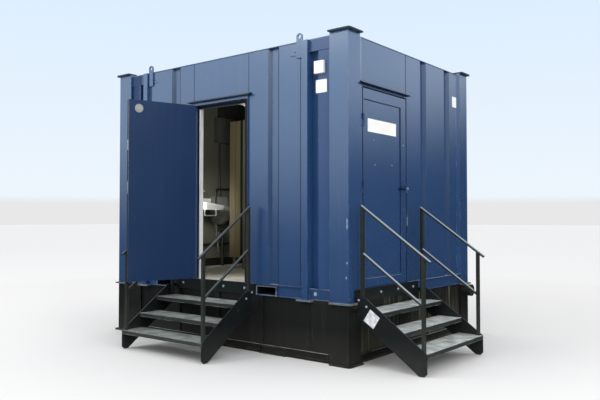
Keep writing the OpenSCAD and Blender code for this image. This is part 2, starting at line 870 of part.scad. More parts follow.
module partition() {
    x0 = lining_x + partition_in;
    x1 = cabin_l / 2 - room_in;
    color(beige) {
        block([x0, partition_y, floor_z + partition_up],
            [x1, partition_y + partition_t, floor_z + partition_up + partition_h]);
        for (x = [x0 + partition_leg_in, (x0 + x1) / 2])
            block([x, partition_y, floor_z],
                [x + partition_leg, partition_y + partition_t, floor_z + partition_up]);
    }
}

module wash_basin() {
    wall = 22;
    depth = 150;
    ledge = 80;
    r = basin_w / 2;
    color(white) translate([lining_x, basin_y, floor_z + basin_z - depth]) difference() {
        intersection() {
            union() {
                block([0, -r, 0], [basin_d - r, r, depth]);
                translate([basin_d - r, 0, 0]) cylinder(r = r, h = depth);
            }
            block([0, -r, 0], [basin_d, r, depth]);
        }
        translate([0, 0, wall]) intersection() {
            union() {
                block([ledge, wall - r, 0], [basin_d - r, r - wall, depth]);
                translate([basin_d - r, 0, 0]) cylinder(r = r - wall, h = depth);
            }
            block([ledge, -r, 0], [basin_d, r, depth]);
        }
    }
}

urinal_t = 25;
bowl_r = 165;
bowl_h = 230;
splash_h = 440;
urinal_base = floor_z + urinal_z - bowl_h;

// A bowl in front of a splash back
module urinal() {
    color(white) translate([lining_x, urinal_y, urinal_base]) difference() {
        union() {
            block([0, -bowl_r, 0], [urinal_t, bowl_r, splash_h]);
            intersection() {
                translate([urinal_t, 0, 0]) cylinder(r = bowl_r, h = bowl_h);
                block([0, -bowl_r, 0], [bowl_r + urinal_t, bowl_r, bowl_h]);
            }
        }
        intersection() {
            translate([urinal_t, 0, urinal_t]) cylinder(r = bowl_r - urinal_t, h = bowl_h);
            block([urinal_t, -bowl_r, 0], [bowl_r + urinal_t, bowl_r, bowl_h + 1]);
        }
    }
}

cistern_z = ceiling_z - cistern_down - cistern_h;

module cistern() {
    color(rail_grey) translate([lining_x, cistern_y - cistern_w / 2, cistern_z])
        cube([cistern_d, cistern_w, cistern_h]);
}

// Drop pipe from the cistern to the splash back, and waste pipe from the bowl to the floor
module urinal_pipes() {
    flush_r = 14;
    waste_r = 22;
    top = urinal_base + splash_h;
    color(rail_grey) {
        translate([lining_x + flush_r, urinal_y, top]) cylinder(r = flush_r, h = cistern_z - top);
        translate([lining_x + urinal_t + 2 * waste_r, urinal_y, floor_z])
            cylinder(r = waste_r, h = urinal_base - floor_z);
    }
}

tank_floor();
tank_side_walls();
tank_end_walls();
tank_deck();
tank_corner_posts();
tank_foot_rails();
tank_feet();
tank_outlet();
base_rails();
fork_pockets();
cabin_floor();
corner_posts();
bottom_corner_plates();
top_corner_plates();
front_wall_left();
front_wall_right();
front_wall_over_door();
end_wall_far();
end_wall_over_door();
back_wall();
left_wall();
roof();
leg_recesses();
leg_guides();
jack_legs();
lifting_eyes();
wall_lining();
front_door_frame();
end_door_frame();
drip_strips();
front_door_leaf();
front_door_knuckles();
front_door_lock();
front_door_bumper();
front_hinge_pins();
end_door_leaf();
end_door_knuckles();
end_door_lock();
end_hinge_pins();
supply_box();
front_stair_hanger();
front_stair_stringers();
front_stair_treads();
front_stair_handrails();
end_stair_hanger();
end_stair_stringers();
end_stair_treads();
end_stair_handrails();
partition();
wash_basin();
urinal();
urinal_pipes();
cistern();
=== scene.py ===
"""Looks of a portable toilet cabin that stands on a waste tank.

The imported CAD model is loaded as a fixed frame. Each class below dresses one sub-assembly of it: it
gives the CAD pieces their finishes and adds the fittings that are too fine for the solids.
Metres, +Z up, -Y out of the long front, +X out of the end with the second door.
"""
import json
import logging
import math
from dataclasses import dataclass, field, replace
from enum import Enum

import bmesh
import bpy
from mathutils import Matrix, Vector

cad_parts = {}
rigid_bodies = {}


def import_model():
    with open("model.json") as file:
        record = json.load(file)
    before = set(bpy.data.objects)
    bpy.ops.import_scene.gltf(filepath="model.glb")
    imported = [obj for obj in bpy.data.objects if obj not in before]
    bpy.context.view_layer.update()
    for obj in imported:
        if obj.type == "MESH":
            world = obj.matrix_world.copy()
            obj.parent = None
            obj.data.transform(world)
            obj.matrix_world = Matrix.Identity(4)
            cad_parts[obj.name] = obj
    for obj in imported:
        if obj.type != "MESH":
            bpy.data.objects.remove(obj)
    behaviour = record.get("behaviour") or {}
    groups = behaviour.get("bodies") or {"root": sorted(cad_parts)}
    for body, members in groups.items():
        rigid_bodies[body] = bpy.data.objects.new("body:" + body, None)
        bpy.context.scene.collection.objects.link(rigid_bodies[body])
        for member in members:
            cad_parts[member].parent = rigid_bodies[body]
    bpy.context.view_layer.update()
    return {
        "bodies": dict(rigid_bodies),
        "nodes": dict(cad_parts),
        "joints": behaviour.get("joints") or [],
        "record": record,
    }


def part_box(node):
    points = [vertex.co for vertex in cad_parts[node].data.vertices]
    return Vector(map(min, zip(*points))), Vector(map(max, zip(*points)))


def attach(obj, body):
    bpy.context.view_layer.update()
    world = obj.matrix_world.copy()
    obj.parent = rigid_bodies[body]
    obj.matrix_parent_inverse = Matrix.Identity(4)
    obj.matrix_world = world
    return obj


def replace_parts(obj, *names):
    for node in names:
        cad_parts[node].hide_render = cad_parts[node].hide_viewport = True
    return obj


LOG = logging.getLogger("cabin")
MM = 0.001
# Which end of two lengths each corner of a rectangle takes
SQUARE = ((0, 0), (1, 0), (1, 1), (0, 1))


def linear(colour: str) -> tuple[float, float, float, float]:
    """Turns an sRGB hex colour to linear light.

    Args:
        colour: Six hex digits after a hash.

    Returns:
        Red, green, blue and an alpha of 1.
    """
    parts = [int(colour[i:i + 2], 16) / 255 for i in (1, 3, 5)]
    red, green, blue = [c / 12.92 if c <= 0.04045 else ((c + 0.055) / 1.055) ** 2.4 for c in parts]
    return red, green, blue, 1.0


def per_metre(size_mm: float) -> float:
    """Gives a pattern's scale from the real size of one of its marks, in millimetres."""
    return 1000 / size_mm


def add(tree: bpy.types.NodeTree, kind: str, inputs: dict | None = None, **settings: object) -> bpy.types.Node:
    """Adds a node with its settings and links.

    Args:
        tree: The node tree that gets the node.
        kind: The node's type.
        inputs: A value, or an output to link, for each input's name or number.
        settings: Values for the node's own properties.

    Returns:
        The new node.
    """
    node = tree.nodes.new(kind)
    for name, value in settings.items():
        setattr(node, name, value)
    for key, value in (inputs or {}).items():
        if isinstance(value, bpy.types.NodeSocket):
            tree.links.new(value, node.inputs[key])
        else:
            node.inputs[key].default_value = value
    return node


class Slot(str, Enum):
    """The record's material slots, named in the calls that add pieces."""

    CABIN = "cabin_paint"
    TANK = "tank_paint"
    STAIR = "stair_paint"
    LINING = "lining_board"
    PARTITION = "partition_board"
    SANITARY = "sanitary_ware"
    WHITE = "white_plastic"
    ZINC = "zinc_steel"
    PIPE = "pipe_plastic"


class Body(str, Enum):
    """The bodies of the CAD frame."""

    CABIN = "cabin"
    FRONT_DOOR = "front_door"
    END_DOOR = "end_door"


@dataclass(frozen=True)
class Finish:
    """A plain finish: one colour with faint cloudiness and a fine bump.

    Attributes:
        name: The material's common name and how its surface was made.
        colour: Its colour in sRGB hex.
        roughness: Its roughness.
        metallic: 1 for a bare metal.
        cloud: How far the colour varies from place to place.
        cloud_mm: The size of one such cloud.
        bump_mm: The depth of its surface texture.
        grain_mm: The size of that texture.
    """

    name: str
    colour: str
    roughness: float
    metallic: float = 0.0
    cloud: float = 0.1
    cloud_mm: float = 120.0
    bump_mm: float = 0.1
    grain_mm: float = 4.0

    def material(self) -> bpy.types.Material:
        """Makes the material, or gives the one that is there.

        Returns:
            The material.
        """
        found = bpy.data.materials.get(self.name)
        if found:
            return found
        made = bpy.data.materials.new(self.name)
        made.use_nodes = True
        tree = made.node_tree
        tree.nodes.clear()
        shader = add(tree, "ShaderNodeBsdfPrincipled", {
            "Base Color": linear(self.colour), "Roughness": self.roughness, "Metallic": self.metallic})
        add(tree, "ShaderNodeOutputMaterial", {"Surface": shader.outputs[0]})
        self.detail(tree, shader)
        made.diffuse_color = linear(self.colour)
        return made

    def detail(self, tree: bpy.types.NodeTree, shader: bpy.types.Node) -> None:
        """Links the finish's pattern to the shader.

        Args:
            tree: The material's node tree.
            shader: Its shader.
        """
        point = add(tree, "ShaderNodeTexCoord").outputs["Object"]
        cloud = add(tree, "ShaderNodeTexNoise", {
            "Vector": point, "Scale": per_metre(self.cloud_mm), "Detail": 4.0})
        shade = add(tree, "ShaderNodeMapRange", {
            0: cloud.outputs[0], 1: 0.3, 2: 0.7, 3: 1 - self.cloud, 4: 1 + self.cloud})
        tint = add(tree, "ShaderNodeVectorMath", {
            0: linear(self.colour)[:3], "Scale": shade.outputs[0]}, operation="SCALE")
        tree.links.new(tint.outputs[0], shader.inputs["Base Color"])
        grain = add(tree, "ShaderNodeTexNoise", {
            "Vector": point, "Scale": per_metre(self.grain_mm), "Detail": 2.0})
        bump = add(tree, "ShaderNodeBump", {"Height": grain.outputs[0], "Distance": self.bump_mm * MM, "Strength": 0.6})
        tree.links.new(bump.outputs[0], shader.inputs["Normal"])


@dataclass(frozen=True)
class PaintedSteel(Finish):
    """Paint over steel: cloudy, pale at its edges from rubbing and painted highlight, streaked by rain and dusty near
    the ground.

    Attributes:
        rub_and_highlight_colour: The colour of pale edges and scuffs: rubbed paint, and on the navy paints a painted
            highlight.
        dust: The colour of dust and dried rain.
        rub_and_highlight: How much of the edges is pale, from rubbing and painted highlight.
        streak: How strong the rain streaks are.
        dust_low: The height where the dust is thickest, in metres.
        dust_high: The height where it ends.
        edge_mm: The width of a pale edge.
        wave_mm: The depth of the sheet's own unevenness.
        gloss: The strength of its mirror, where 0.5 is usual for paint.
        sheen: The tint of its mirror.
        coat: How much clear skin lies on it.
        crown: How far upward faces are paled: a painted highlight of the sky on top, with some rubbing by hands.
        crown_colour: The colour of those faces.
    """

    rub_and_highlight_colour: str = "#8f9aa8"
    dust: str = "#8d8a80"
    rub_and_highlight: float = 0.5
    streak: float = 0.12
    dust_low: float = 0.0
    dust_high: float = 0.5
    edge_mm: float = 5.0
    wave_mm: float = 2.0
    gloss: float = 0.5
    sheen: str = "#ffffff"
    coat: float = 0.0
    crown: float = 0.0
    crown_colour: str = "#8f999c"

    # The clear skin's own values
    COAT_ROUGHNESS = 0.22
    COAT_IOR = 1.85
    # How far the rain's streaks are drawn out, as a share of their length
    RAIN_DRAW = 0.04
    # The sizes of the marks: a streak, a splash, a rubbed place, a scuff and a wave of the sheet
    RAIN_MM = 45
    SPLASH_MM = 70
    RUB_MM = 140
    SCUFF_MM = 28
    SHEET_MM = 450
    # The roughness of dust and of rubbed paint
    DULL = 0.8

    def detail(self, tree: bpy.types.NodeTree, shader: bpy.types.Node) -> None:
        """Links the paint's pattern to the shader.

        Args:
            tree: The material's node tree.
            shader: Its shader.
        """
        shader.inputs["Specular IOR Level"].default_value = self.gloss
        shader.inputs["Coat Weight"].default_value = self.coat
        shader.inputs["Coat Roughness"].default_value = self.COAT_ROUGHNESS
        shader.inputs["Coat IOR"].default_value = self.COAT_IOR
        shader.inputs["Specular Tint"].default_value = linear(self.sheen)
        point = add(tree, "ShaderNodeTexCoord").outputs["Object"]
        base = linear(self.colour)
        dark = tuple(c * (1 - 2 * self.cloud) for c in base[:3]) + (1.0,)
        cloud = add(tree, "ShaderNodeTexNoise", {
            "Vector": point, "Scale": per_metre(self.cloud_mm), "Detail": 3.0})
        toned = add(tree, "ShaderNodeMix", {0: cloud.outputs[0], 6: dark, 7: base}, data_type="RGBA")

        # Rain runs straight down, so its pattern is drawn out along Z
        drawn = add(tree, "ShaderNodeMapping", {"Vector": point, "Scale": (1.0, 1.0, self.RAIN_DRAW)})
        rain = add(tree, "ShaderNodeTexNoise", {
            "Vector": drawn.outputs[0], "Scale": per_metre(self.RAIN_MM), "Detail": 5.0})
        run = add(tree, "ShaderNodeMapRange", {0: rain.outputs[0], 1: 0.55, 2: 0.8, 3: 0.0, 4: self.streak})
        washed = add(tree, "ShaderNodeMix", {
            0: run.outputs[0], 6: toned.outputs[2], 7: linear(self.dust)}, data_type="RGBA")

        # Dust and splashes lie near the ground
        level = add(tree, "ShaderNodeSeparateXYZ", {0: point}).outputs[2]
        low = add(tree, "ShaderNodeMapRange", {0: level, 1: self.dust_low, 2: self.dust_high, 3: 0.5, 4: 0.0})
        splash = add(tree, "ShaderNodeTexNoise", {
            "Vector": point, "Scale": per_metre(self.SPLASH_MM), "Detail": 8.0, "Roughness": 0.7})
        lain = add(tree, "ShaderNodeMath", {0: low.outputs[0], 1: splash.outputs[0]}, operation="MULTIPLY")
        dusty = add(tree, "ShaderNodeMix", {
            0: lain.outputs[0], 6: washed.outputs[2], 7: linear(self.dust)}, data_type="RGBA")

        # An edge is where the rounded normal leaves the face's own
        rounded = add(tree, "ShaderNodeBevel", {"Radius": self.edge_mm * MM}, samples=6)
        face = add(tree, "ShaderNodeNewGeometry")
        along = add(tree, "ShaderNodeVectorMath", {
            0: rounded.outputs[0], 1: face.outputs["True Normal"]}, operation="DOT_PRODUCT")
        edge = add(tree, "ShaderNodeMapRange", {0: along.outputs["Value"], 1: 0.97, 2: 0.75, 3: 0.0, 4: 1.0})
        rub = add(tree, "ShaderNodeTexNoise", {
            "Vector": point, "Scale": per_metre(self.RUB_MM), "Detail": 9.0, "Roughness": 0.72})
        bare = add(tree, "ShaderNodeMapRange", {
            0: rub.outputs[0], 1: 0.62 - 0.2 * self.rub_and_highlight, 2: 0.68 - 0.12 * self.rub_and_highlight})
        rubbed = add(tree, "ShaderNodeMath", {0: edge.outputs[0], 1: bare.outputs[0]}, operation="MULTIPLY")
        # Pale edges: rubbed paint, and on the navy paints a painted highlight along the edges
        rub_and_highlight_colour = add(tree, "ShaderNodeMix", {
            0: rubbed.outputs[0], 6: dusty.outputs[2], 7: linear(self.rub_and_highlight_colour)}, data_type="RGBA")

        # A few short scuffs on the open faces
        slanted = add(tree, "ShaderNodeMapping", {
            "Vector": point, "Rotation": (0.3, 0.5, 0.2), "Scale": (1.0, 1.0, 0.22)})
        scuff = add(tree, "ShaderNodeTexNoise", {
            "Vector": slanted.outputs[0], "Scale": per_metre(self.SCUFF_MM), "Detail": 2.0})
        marks = add(tree, "ShaderNodeMapRange", {0: scuff.outputs[0], 1: 0.76, 2: 0.8, 3: 0.0, 4: 0.6 * self.rub_and_highlight})
        scuffed = add(tree, "ShaderNodeMix", {
            0: marks.outputs[0], 6: rub_and_highlight_colour.outputs[2], 7: linear(self.rub_and_highlight_colour)}, data_type="RGBA")

        # Upward faces are paled: a painted highlight of the sky on top, with some rubbing by hands
        up = add(tree, "ShaderNodeSeparateXYZ", {0: face.outputs["Normal"]}).outputs[2]
        upper = add(tree, "ShaderNodeMapRange", {0: up, 1: 0.2, 2: 0.75, 3: 0.0, 4: self.crown})
        crowned = add(tree, "ShaderNodeMix", {
            0: upper.outputs[0], 6: scuffed.outputs[2], 7: linear(self.crown_colour)}, data_type="RGBA")
        tree.links.new(crowned.outputs[2], shader.inputs["Base Color"])

        # Dust and rubbed places don't shine
        dull = add(tree, "ShaderNodeMath", {0: lain.outputs[0], 1: rubbed.outputs[0]}, operation="ADD")
        rough = add(tree, "ShaderNodeMapRange", {0: dull.outputs[0], 1: 0.0, 2: 1.0, 3: self.roughness, 4: self.DULL})
        tree.links.new(rough.outputs[0], shader.inputs["Roughness"])

        # Thin sheet is never quite flat, and brushed paint has a fine skin
        wave = add(tree, "ShaderNodeTexNoise", {"Vector": point, "Scale": per_metre(self.SHEET_MM), "Detail": 0.0})
        uneven = add(tree, "ShaderNodeBump", {
            "Height": wave.outputs[0], "Distance": self.wave_mm * MM, "Strength": 1.0})
        skin = add(tree, "ShaderNodeTexNoise", {"Vector": point, "Scale": per_metre(self.grain_mm), "Detail": 2.0})
        peel = add(tree, "ShaderNodeBump", {
            "Height": skin.outputs[0], "Distance": self.bump_mm * MM, "Strength": 0.4, "Normal": uneven.outputs[0]})
        tree.links.new(peel.outputs[0], shader.inputs["Normal"])


@dataclass(frozen=True)
class GritPlate(PaintedSteel):
    """Painted tread plate with grit bonded on its upper side, where feet land.

    Attributes:
        grit_mm: The size of the grit as drawn.
        grit: The grit's colour.
    """

    grit_mm: float = 7.0
    grit: str = "#8b928e"

    # The size of a trodden patch and the height of the grit
    PATCH_MM = 110
    RISE_MM = 1.5

    def detail(self, tree: bpy.types.NodeTree, shader: bpy.types.Node) -> None:
        """Links the grit to the shader, over the paint.

        Args:
            tree: The material's node tree.
            shader: Its shader.
        """
        super().detail(tree, shader)
        painted = shader.inputs["Base Color"].links[0].from_socket
        skin = shader.inputs["Normal"].links[0].from_socket
        point = add(tree, "ShaderNodeTexCoord").outputs["Object"]
        # Real grit is about 2 mm, and is drawn coarser so that it shows
        grit = add(tree, "ShaderNodeTexVoronoi", {"Vector": point, "Scale": per_metre(self.grit_mm)})
        specks = add(tree, "ShaderNodeMapRange", {0: grit.outputs["Distance"], 1: 0.1, 2: 0.6, 3: 1.15, 4: 0.85})
        trodden = add(tree, "ShaderNodeTexNoise", {"Vector": point, "Scale": per_metre(self.PATCH_MM), "Detail": 6.0})
        patch = add(tree, "ShaderNodeMapRange", {0: trodden.outputs[0], 1: 0.3, 2: 0.7, 3: 0.55, 4: 1.35})
        shade = add(tree, "ShaderNodeMath", {0: specks.outputs[0], 1: patch.outputs[0]}, operation="MULTIPLY")
        speckled = add(tree, "ShaderNodeVectorMath", {
            0: linear(self.grit)[:3], "Scale": shade.outputs[0]}, operation="SCALE")
        face = add(tree, "ShaderNodeNewGeometry")
        up = add(tree, "ShaderNodeSeparateXYZ", {0: face.outputs["Normal"]}).outputs[2]
        top = add(tree, "ShaderNodeMapRange", {0: up, 1: 0.6, 2: 0.9})
        gritted = add(tree, "ShaderNodeMix", {
            0: top.outputs[0], 6: painted, 7: speckled.outputs[0]}, data_type="RGBA")
        tree.links.new(gritted.outputs[2], shader.inputs["Base Color"])
        rise = add(tree, "ShaderNodeBump", {
            "Height": grit.outputs["Distance"], "Distance": self.RISE_MM * MM, "Strength": 0.7, "Normal": skin},
            invert=True)
        tree.links.new(rise.outputs[0], shader.inputs["Normal"])


@dataclass(frozen=True)
class GrainedBoard(Finish):
    """Laminated board with an upright wood grain.

    Attributes:
        grain_colour: The colour of the grain's lines.
    """

    grain_colour: str = "#8a6f45"

    # How far the grain is drawn out, as a share of its length
    DRAW = 0.05

    def detail(self, tree: bpy.types.NodeTree, shader: bpy.types.Node) -> None:
        """Links the grain to the shader.

        Args:
            tree: The material's node tree.
            shader: Its shader.
        """
        point = add(tree, "ShaderNodeTexCoord").outputs["Object"]
        drawn = add(tree, "ShaderNodeMapping", {"Vector": point, "Scale": (1.0, 1.0, self.DRAW)})
        grain = add(tree, "ShaderNodeTexNoise", {
            "Vector": drawn.outputs[0], "Scale": per_metre(self.grain_mm), "Detail": 5.0})
        lines = add(tree, "ShaderNodeMapRange", {0: grain.outputs[0], 1: 0.45, 2: 0.75, 3: 0.0, 4: 0.55})
        wood = add(tree, "ShaderNodeMix", {
            0: lines.outputs[0], 6: linear(self.colour), 7: linear(self.grain_colour)}, data_type="RGBA")
        tree.links.new(wood.outputs[2], shader.inputs["Base Color"])
        bump = add(tree, "ShaderNodeBump", {"Height": grain.outputs[0], "Distance": self.bump_mm * MM, "Strength": 0.3})
        tree.links.new(bump.outputs[0], shader.inputs["Normal"])


class Paint:
    """The finishes of the cabin, each named for the real material, and for the painted light or shade where it carries
    some.
    """

    # Alkyd gloss on pressed sheet: deep blue under a clear skin that mirrors the sky, with pale edges that are a
    # painted highlight along them and some rubbing
    NAVY = PaintedSteel("navy alkyd gloss on pressed steel", "#284b7c", 0.26, cloud=0.1, cloud_mm=700, rub_and_highlight=0.6,
                        rub_and_highlight_colour="#7f94b5", streak=0.06, bump_mm=0.006, grain_mm=40, gloss=1.0, coat=1.0, sheen="#d9f4ff")
    # The same paint where boots, forks and chains rub it: its edges are bare and pale
    NAVY_RUBBED = PaintedSteel("navy alkyd gloss rubbed to bare steel", "#214575", 0.3, cloud=0.12, cloud_mm=300,
                               rub_and_highlight_colour="#b9bcb8", rub_and_highlight=1.3, streak=0.05, edge_mm=14, gloss=0.9, coat=0.5)
    # The same paint darker and hardly a mirror: painted shade on the open leaf's inner face and on the dark sheets in
    # the left leg's recess
    NAVY_SHADE = PaintedSteel("navy alkyd gloss darkened as painted shade", "#1d3a64", 0.36, cloud=0.12, cloud_mm=500,
                              rub_and_highlight=0.4, rub_and_highlight_colour="#5f7494", streak=0.03, bump_mm=0.006, grain_mm=40, gloss=0.3, coat=0.05)
    # The same paint down in the recesses: less polished by the rain
    NAVY_RECESS = replace(NAVY, name="navy alkyd gloss in the recesses", roughness=0.3, cloud=0.12, cloud_mm=400,
                          rub_and_highlight=0.5, streak=0.05, gloss=0.5, coat=0.28, sheen="#ffffff")
    # The same paint on the ground plates, scraped to grey steel by skids and chains
    PLATE = PaintedSteel("navy paint scraped to bare plate", "#6f7a8a", 0.45, cloud=0.35, cloud_mm=60, rub_and_highlight_colour="#b9bcb8",
                         rub_and_highlight=1.2, streak=0.0, edge_mm=8, gloss=0.5)
    # The same paint on the top plates, chalky and dulled by weather
    CHALKY = PaintedSteel("navy paint chalked by weather", "#3a4854", 0.6, cloud=0.2, cloud_mm=80, rub_and_highlight_colour="#7d8a92",
                          rub_and_highlight=0.4, streak=0.0, edge_mm=3, gloss=0.3)
    # The same paint near black: painted shade on the drip strips under the eaves; the end door's hasp has it too
    NAVY_DEEP_SHADE = PaintedSteel("navy alkyd gloss near black as painted shade", "#0d1830", 0.35, cloud=0.12, cloud_mm=300, rub_and_highlight=0.3,
                             rub_and_highlight_colour="#33486b", streak=0.03, edge_mm=3, gloss=0.3)
    # Black bituminous paint on the tank: satin, nearly black and scraped along its rails
    TANK = PaintedSteel("black bitumen paint on tank plate", "#1b1d1b", 0.42, cloud=0.15, cloud_mm=500, rub_and_highlight_colour="#6d6d66",
                        dust="#5c5b52", rub_and_highlight=0.3, streak=0.10, dust_low=-0.05, dust_high=0.3, bump_mm=0.2, grain_mm=12)
    # The same paint on the end walls, under dried mud
    TANK_MUDDY = replace(TANK, name="black bitumen paint under dried mud", colour="#23241f", roughness=0.55, cloud=0.2,
                         cloud_mm=400, rub_and_highlight_colour="#77776a", dust="#85836a", rub_and_highlight=0.4, streak=0.75, dust_high=0.4)
    # Bare steel along the skids: grey and scratched
    SCRAPED = Finish("scraped steel edge", "#8f908a", 0.5, metallic=0.2, cloud=0.55, cloud_mm=90)
    # The tank's paint on the skids and feet: scraped pale along the edges
    TANK_SCRAPED = PaintedSteel("black bitumen paint scraped on skids", "#141614", 0.45, cloud=0.15, cloud_mm=300,
                                rub_and_highlight_colour="#8c8d88", dust="#5c5b52", rub_and_highlight=0.9, streak=0.05, dust_low=-0.1, dust_high=0.15,
                                edge_mm=6)
    # Dark chassis paint on the stairs: satin, rubbed pale along the edges where hands and boots slide
    STAIR = PaintedSteel("dark chassis paint on steel section", "#191f1f", 0.38, cloud=0.12, cloud_mm=200,
                         rub_and_highlight_colour="#7d8587", dust="#66675f", rub_and_highlight=0.6, streak=0.05, dust_low=-0.1, dust_high=0.3,
                         edge_mm=3, wave_mm=0.1)
    # The same paint on the handrails: pale grey on top, a painted highlight of the sky with some rubbing by hands
    RAIL = PaintedSteel("dark chassis paint with painted top highlight", "#2b302c", 0.34, cloud=0.12, cloud_mm=120,
                        rub_and_highlight_colour="#8f999c", dust="#66675f", rub_and_highlight=0.5, streak=0.05, edge_mm=3, wave_mm=0.1,
                        crown=0.95, crown_colour="#a8b3ba")
    # The same paint with a dimmer painted top highlight, for the front stair's rails
    RAIL_LESS_LIT = replace(RAIL, name="dark chassis paint with dim painted top highlight", roughness=0.4, rub_and_highlight_colour="#7d8587", crown=0.7,
                        crown_colour="#5d6568")
    # Gritted tread plate: grey and speckled on top, dark on its lips and rubbed to pale steel at the noses
    TREAD = GritPlate("gritted paint on tread plate", "#232929", 0.7, cloud=0.2, cloud_mm=150, rub_and_highlight_colour="#c3c8c4",
                      dust="#6a6b63", rub_and_highlight=1.0, streak=0.0, edge_mm=7, wave_mm=0.1)
    # The same plate with paler grit: painted light for the more brightly lit end stair, with some trodden steel
    TREAD_LIT_AND_TRODDEN = replace(TREAD, name="gritted paint paled as painted light", roughness=0.6, cloud=0.1, grit="#c8cdcb")
    # Pale blue grey: a painted highlight along the end rail's top edge, and a pale line along the end leaf's foot
    THIN_NAVY = Finish("pale blue grey edge line and painted highlight", "#8399b8", 0.5, cloud=0.3, cloud_mm=60)
    # Sheet vinyl: pale, matt and trodden
    VINYL = Finish("sheet vinyl flooring", "#cfccba", 0.55, cloud=0.14, cloud_mm=260, grain_mm=6)
    # Melamine-faced board: olive grey with a dull sheen
    LINING = Finish("melamine faced lining board", "#757565", 0.45, cloud=0.06, cloud_mm=600, grain_mm=5)
    # Laminated chipboard with a printed beech grain
    BEECH = GrainedBoard("beech laminate on chipboard", "#8c7f60", 0.45, grain_mm=30, grain_colour="#63573c")
    # Vitreous china: white with a wet gloss
    CHINA = Finish("glazed vitreous china", "#ecebe6", 0.08, cloud=0.03, bump_mm=0.03, grain_mm=30)
    # The same china greyed: painted shade on the urinal in the dim back of the cabin
    CHINA_IN_SHADE = Finish("vitreous china greyed as painted shade", "#9c9d96", 0.15, cloud=0.08, bump_mm=0.03, grain_mm=30)
    # Rigid vinyl plate: white and slightly dull
    WHITE = Finish("white rigid vinyl plate", "#f4f4f2", 0.35, cloud=0.05, bump_mm=0.05)
    # Zinc-plated steel: grey with a dull shine
    ZINC = Finish("zinc plated steel", "#a9acad", 0.38, metallic=1.0, cloud=0.15, cloud_mm=25, bump_mm=0.05)
    # Moulded polythene: near black with a soft sheen
    PIPE = Finish("moulded black polythene", "#2a2a28", 0.4, cloud=0.08, bump_mm=0.08)
    # The same plastic in olive grey, dull with age
    OLIVE = Finish("moulded olive polythene", "#34352d", 0.5, cloud=0.1, bump_mm=0.08)
    # The same plastic in mid grey, dull
    GREY_PLASTIC = Finish("grey moulded polythene", "#5f6056", 0.5)
    # Rigid vinyl pipe: grey and dull
    GREY_PIPE = Finish("grey rigid vinyl pipe", "#6a6b64", 0.5)
    # The shadow in a joint between laminated planks
    PLANK_JOINT = Finish("dark joint in laminate", "#4a3d26", 0.7)
    # Die-cast zinc: pale and dull, with a blue cast
    CAST = Finish("die cast zinc", "#b4c0cb", 0.45, metallic=0.35, cloud=0.1, cloud_mm=20, bump_mm=0.04)
    # Extruded rubber: black and matt; also the black strips and sheets that paint the shade in the gaps and the fork
    # pockets
    RUBBER = Finish("black rubber and painted shade", "#161616", 0.75, cloud=0.1, bump_mm=0.1)
    # Moulded rubber of the leaf's stop: grey and dull
    GREY_RUBBER = Finish("grey moulded rubber", "#a3a5a4", 0.6)
    # Printed vinyl with its print gone: off-white and scuffed
    STICKER = Finish("scuffed vinyl sticker", "#d3d7da", 0.5, cloud=0.3, cloud_mm=45)
    # Zinc primer: pale and chalky where the paint is knocked off
    PRIMER = Finish("pale zinc primer", "#cfd3d6", 0.7, cloud=0.2, cloud_mm=20)
    # Mill aluminium: light and dull
    ALUMINIUM = Finish("mill finish aluminium", "#c9ccce", 0.42, metallic=1.0, cloud=0.1, cloud_mm=40, bump_mm=0.03)
    # Dark lines: butyl sealant in the wall's joints, and painted shadow lines at the swages, guides, lifting eyes and
    # the end leaf's panel
    SEALANT_AND_SHADE = Finish("dark sealant and painted shadow line", "#16233f", 0.6, cloud=0.15, bump_mm=0.2)
    # The studio's floor: pale and matt
    FLOOR = Finish("pale painted floor", "#f1f1f1", 0.95, cloud=0.0)


class Side(Enum):
    """A face of the cabin, with the direction along it and the direction out of it."""

    FRONT = ((1.0, 0.0, 0.0), (0.0, -1.0, 0.0))
    END = ((0.0, 1.0, 0.0), (1.0, 0.0, 0.0))
    BACK = ((-1.0, 0.0, 0.0), (0.0, 1.0, 0.0))
    LEFT = ((0.0, -1.0, 0.0), (-1.0, 0.0, 0.0))

    def run(self) -> Vector:
        """Gives the direction along the face."""
        return Vector(self.value[0])

    def outward(self) -> Vector:
        """Gives the direction out of the face."""
        return Vector(self.value[1])

    def face(self) -> float:
        """Gives the distance of the corner posts' face from the middle of the cabin."""
        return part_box("corner_posts")[1].dot(Vector(map(abs, self.value[1])))

    def point(self, along: float, out: float, up: float) -> Vector:
        """Gives a place on this side.

        Args:
            along: The place along the face.
            out: The distance out of the corner posts' face.
            up: The height.

        Returns:
            The point in the cabin's frame.
        """
        return self.run() * along + self.outward() * (self.face() + out) + Vector((0, 0, up))

    def span(self, box: tuple[Vector, Vector]) -> tuple[float, float]:
        """Gives how far the inner and the outer side of a box lie out of the corner posts' face."""
        ends = sorted(corner.dot(self.outward()) for corner in box)
        return ends[0] - self.face(), ends[1] - self.face()


LONG_SIDES = (Side.FRONT, Side.BACK)
SHORT_SIDES = (Side.END, Side.LEFT)


def rounded(width: float, height: float, radius: float, steps: int = 4) -> list[tuple[float, float]]:
    """Gives the outline of a rectangle with round corners, about its middle.

    Args:
        width: Its width.
        height: Its height.
        radius: The radius of its corners.
        steps: How many parts each corner has.

    Returns:
        The outline's points, anticlockwise.
    """
    corners = [(1, 1, 0), (-1, 1, 90), (-1, -1, 180), (1, -1, 270)]
    points = []
    for sx, sy, start in corners:
        for i in range(steps + 1):
            turn = math.radians(start + 90 * i / steps)
            points.append((sx * (width / 2 - radius) + radius * math.cos(turn),
                           sy * (height / 2 - radius) + radius * math.sin(turn)))
    return points


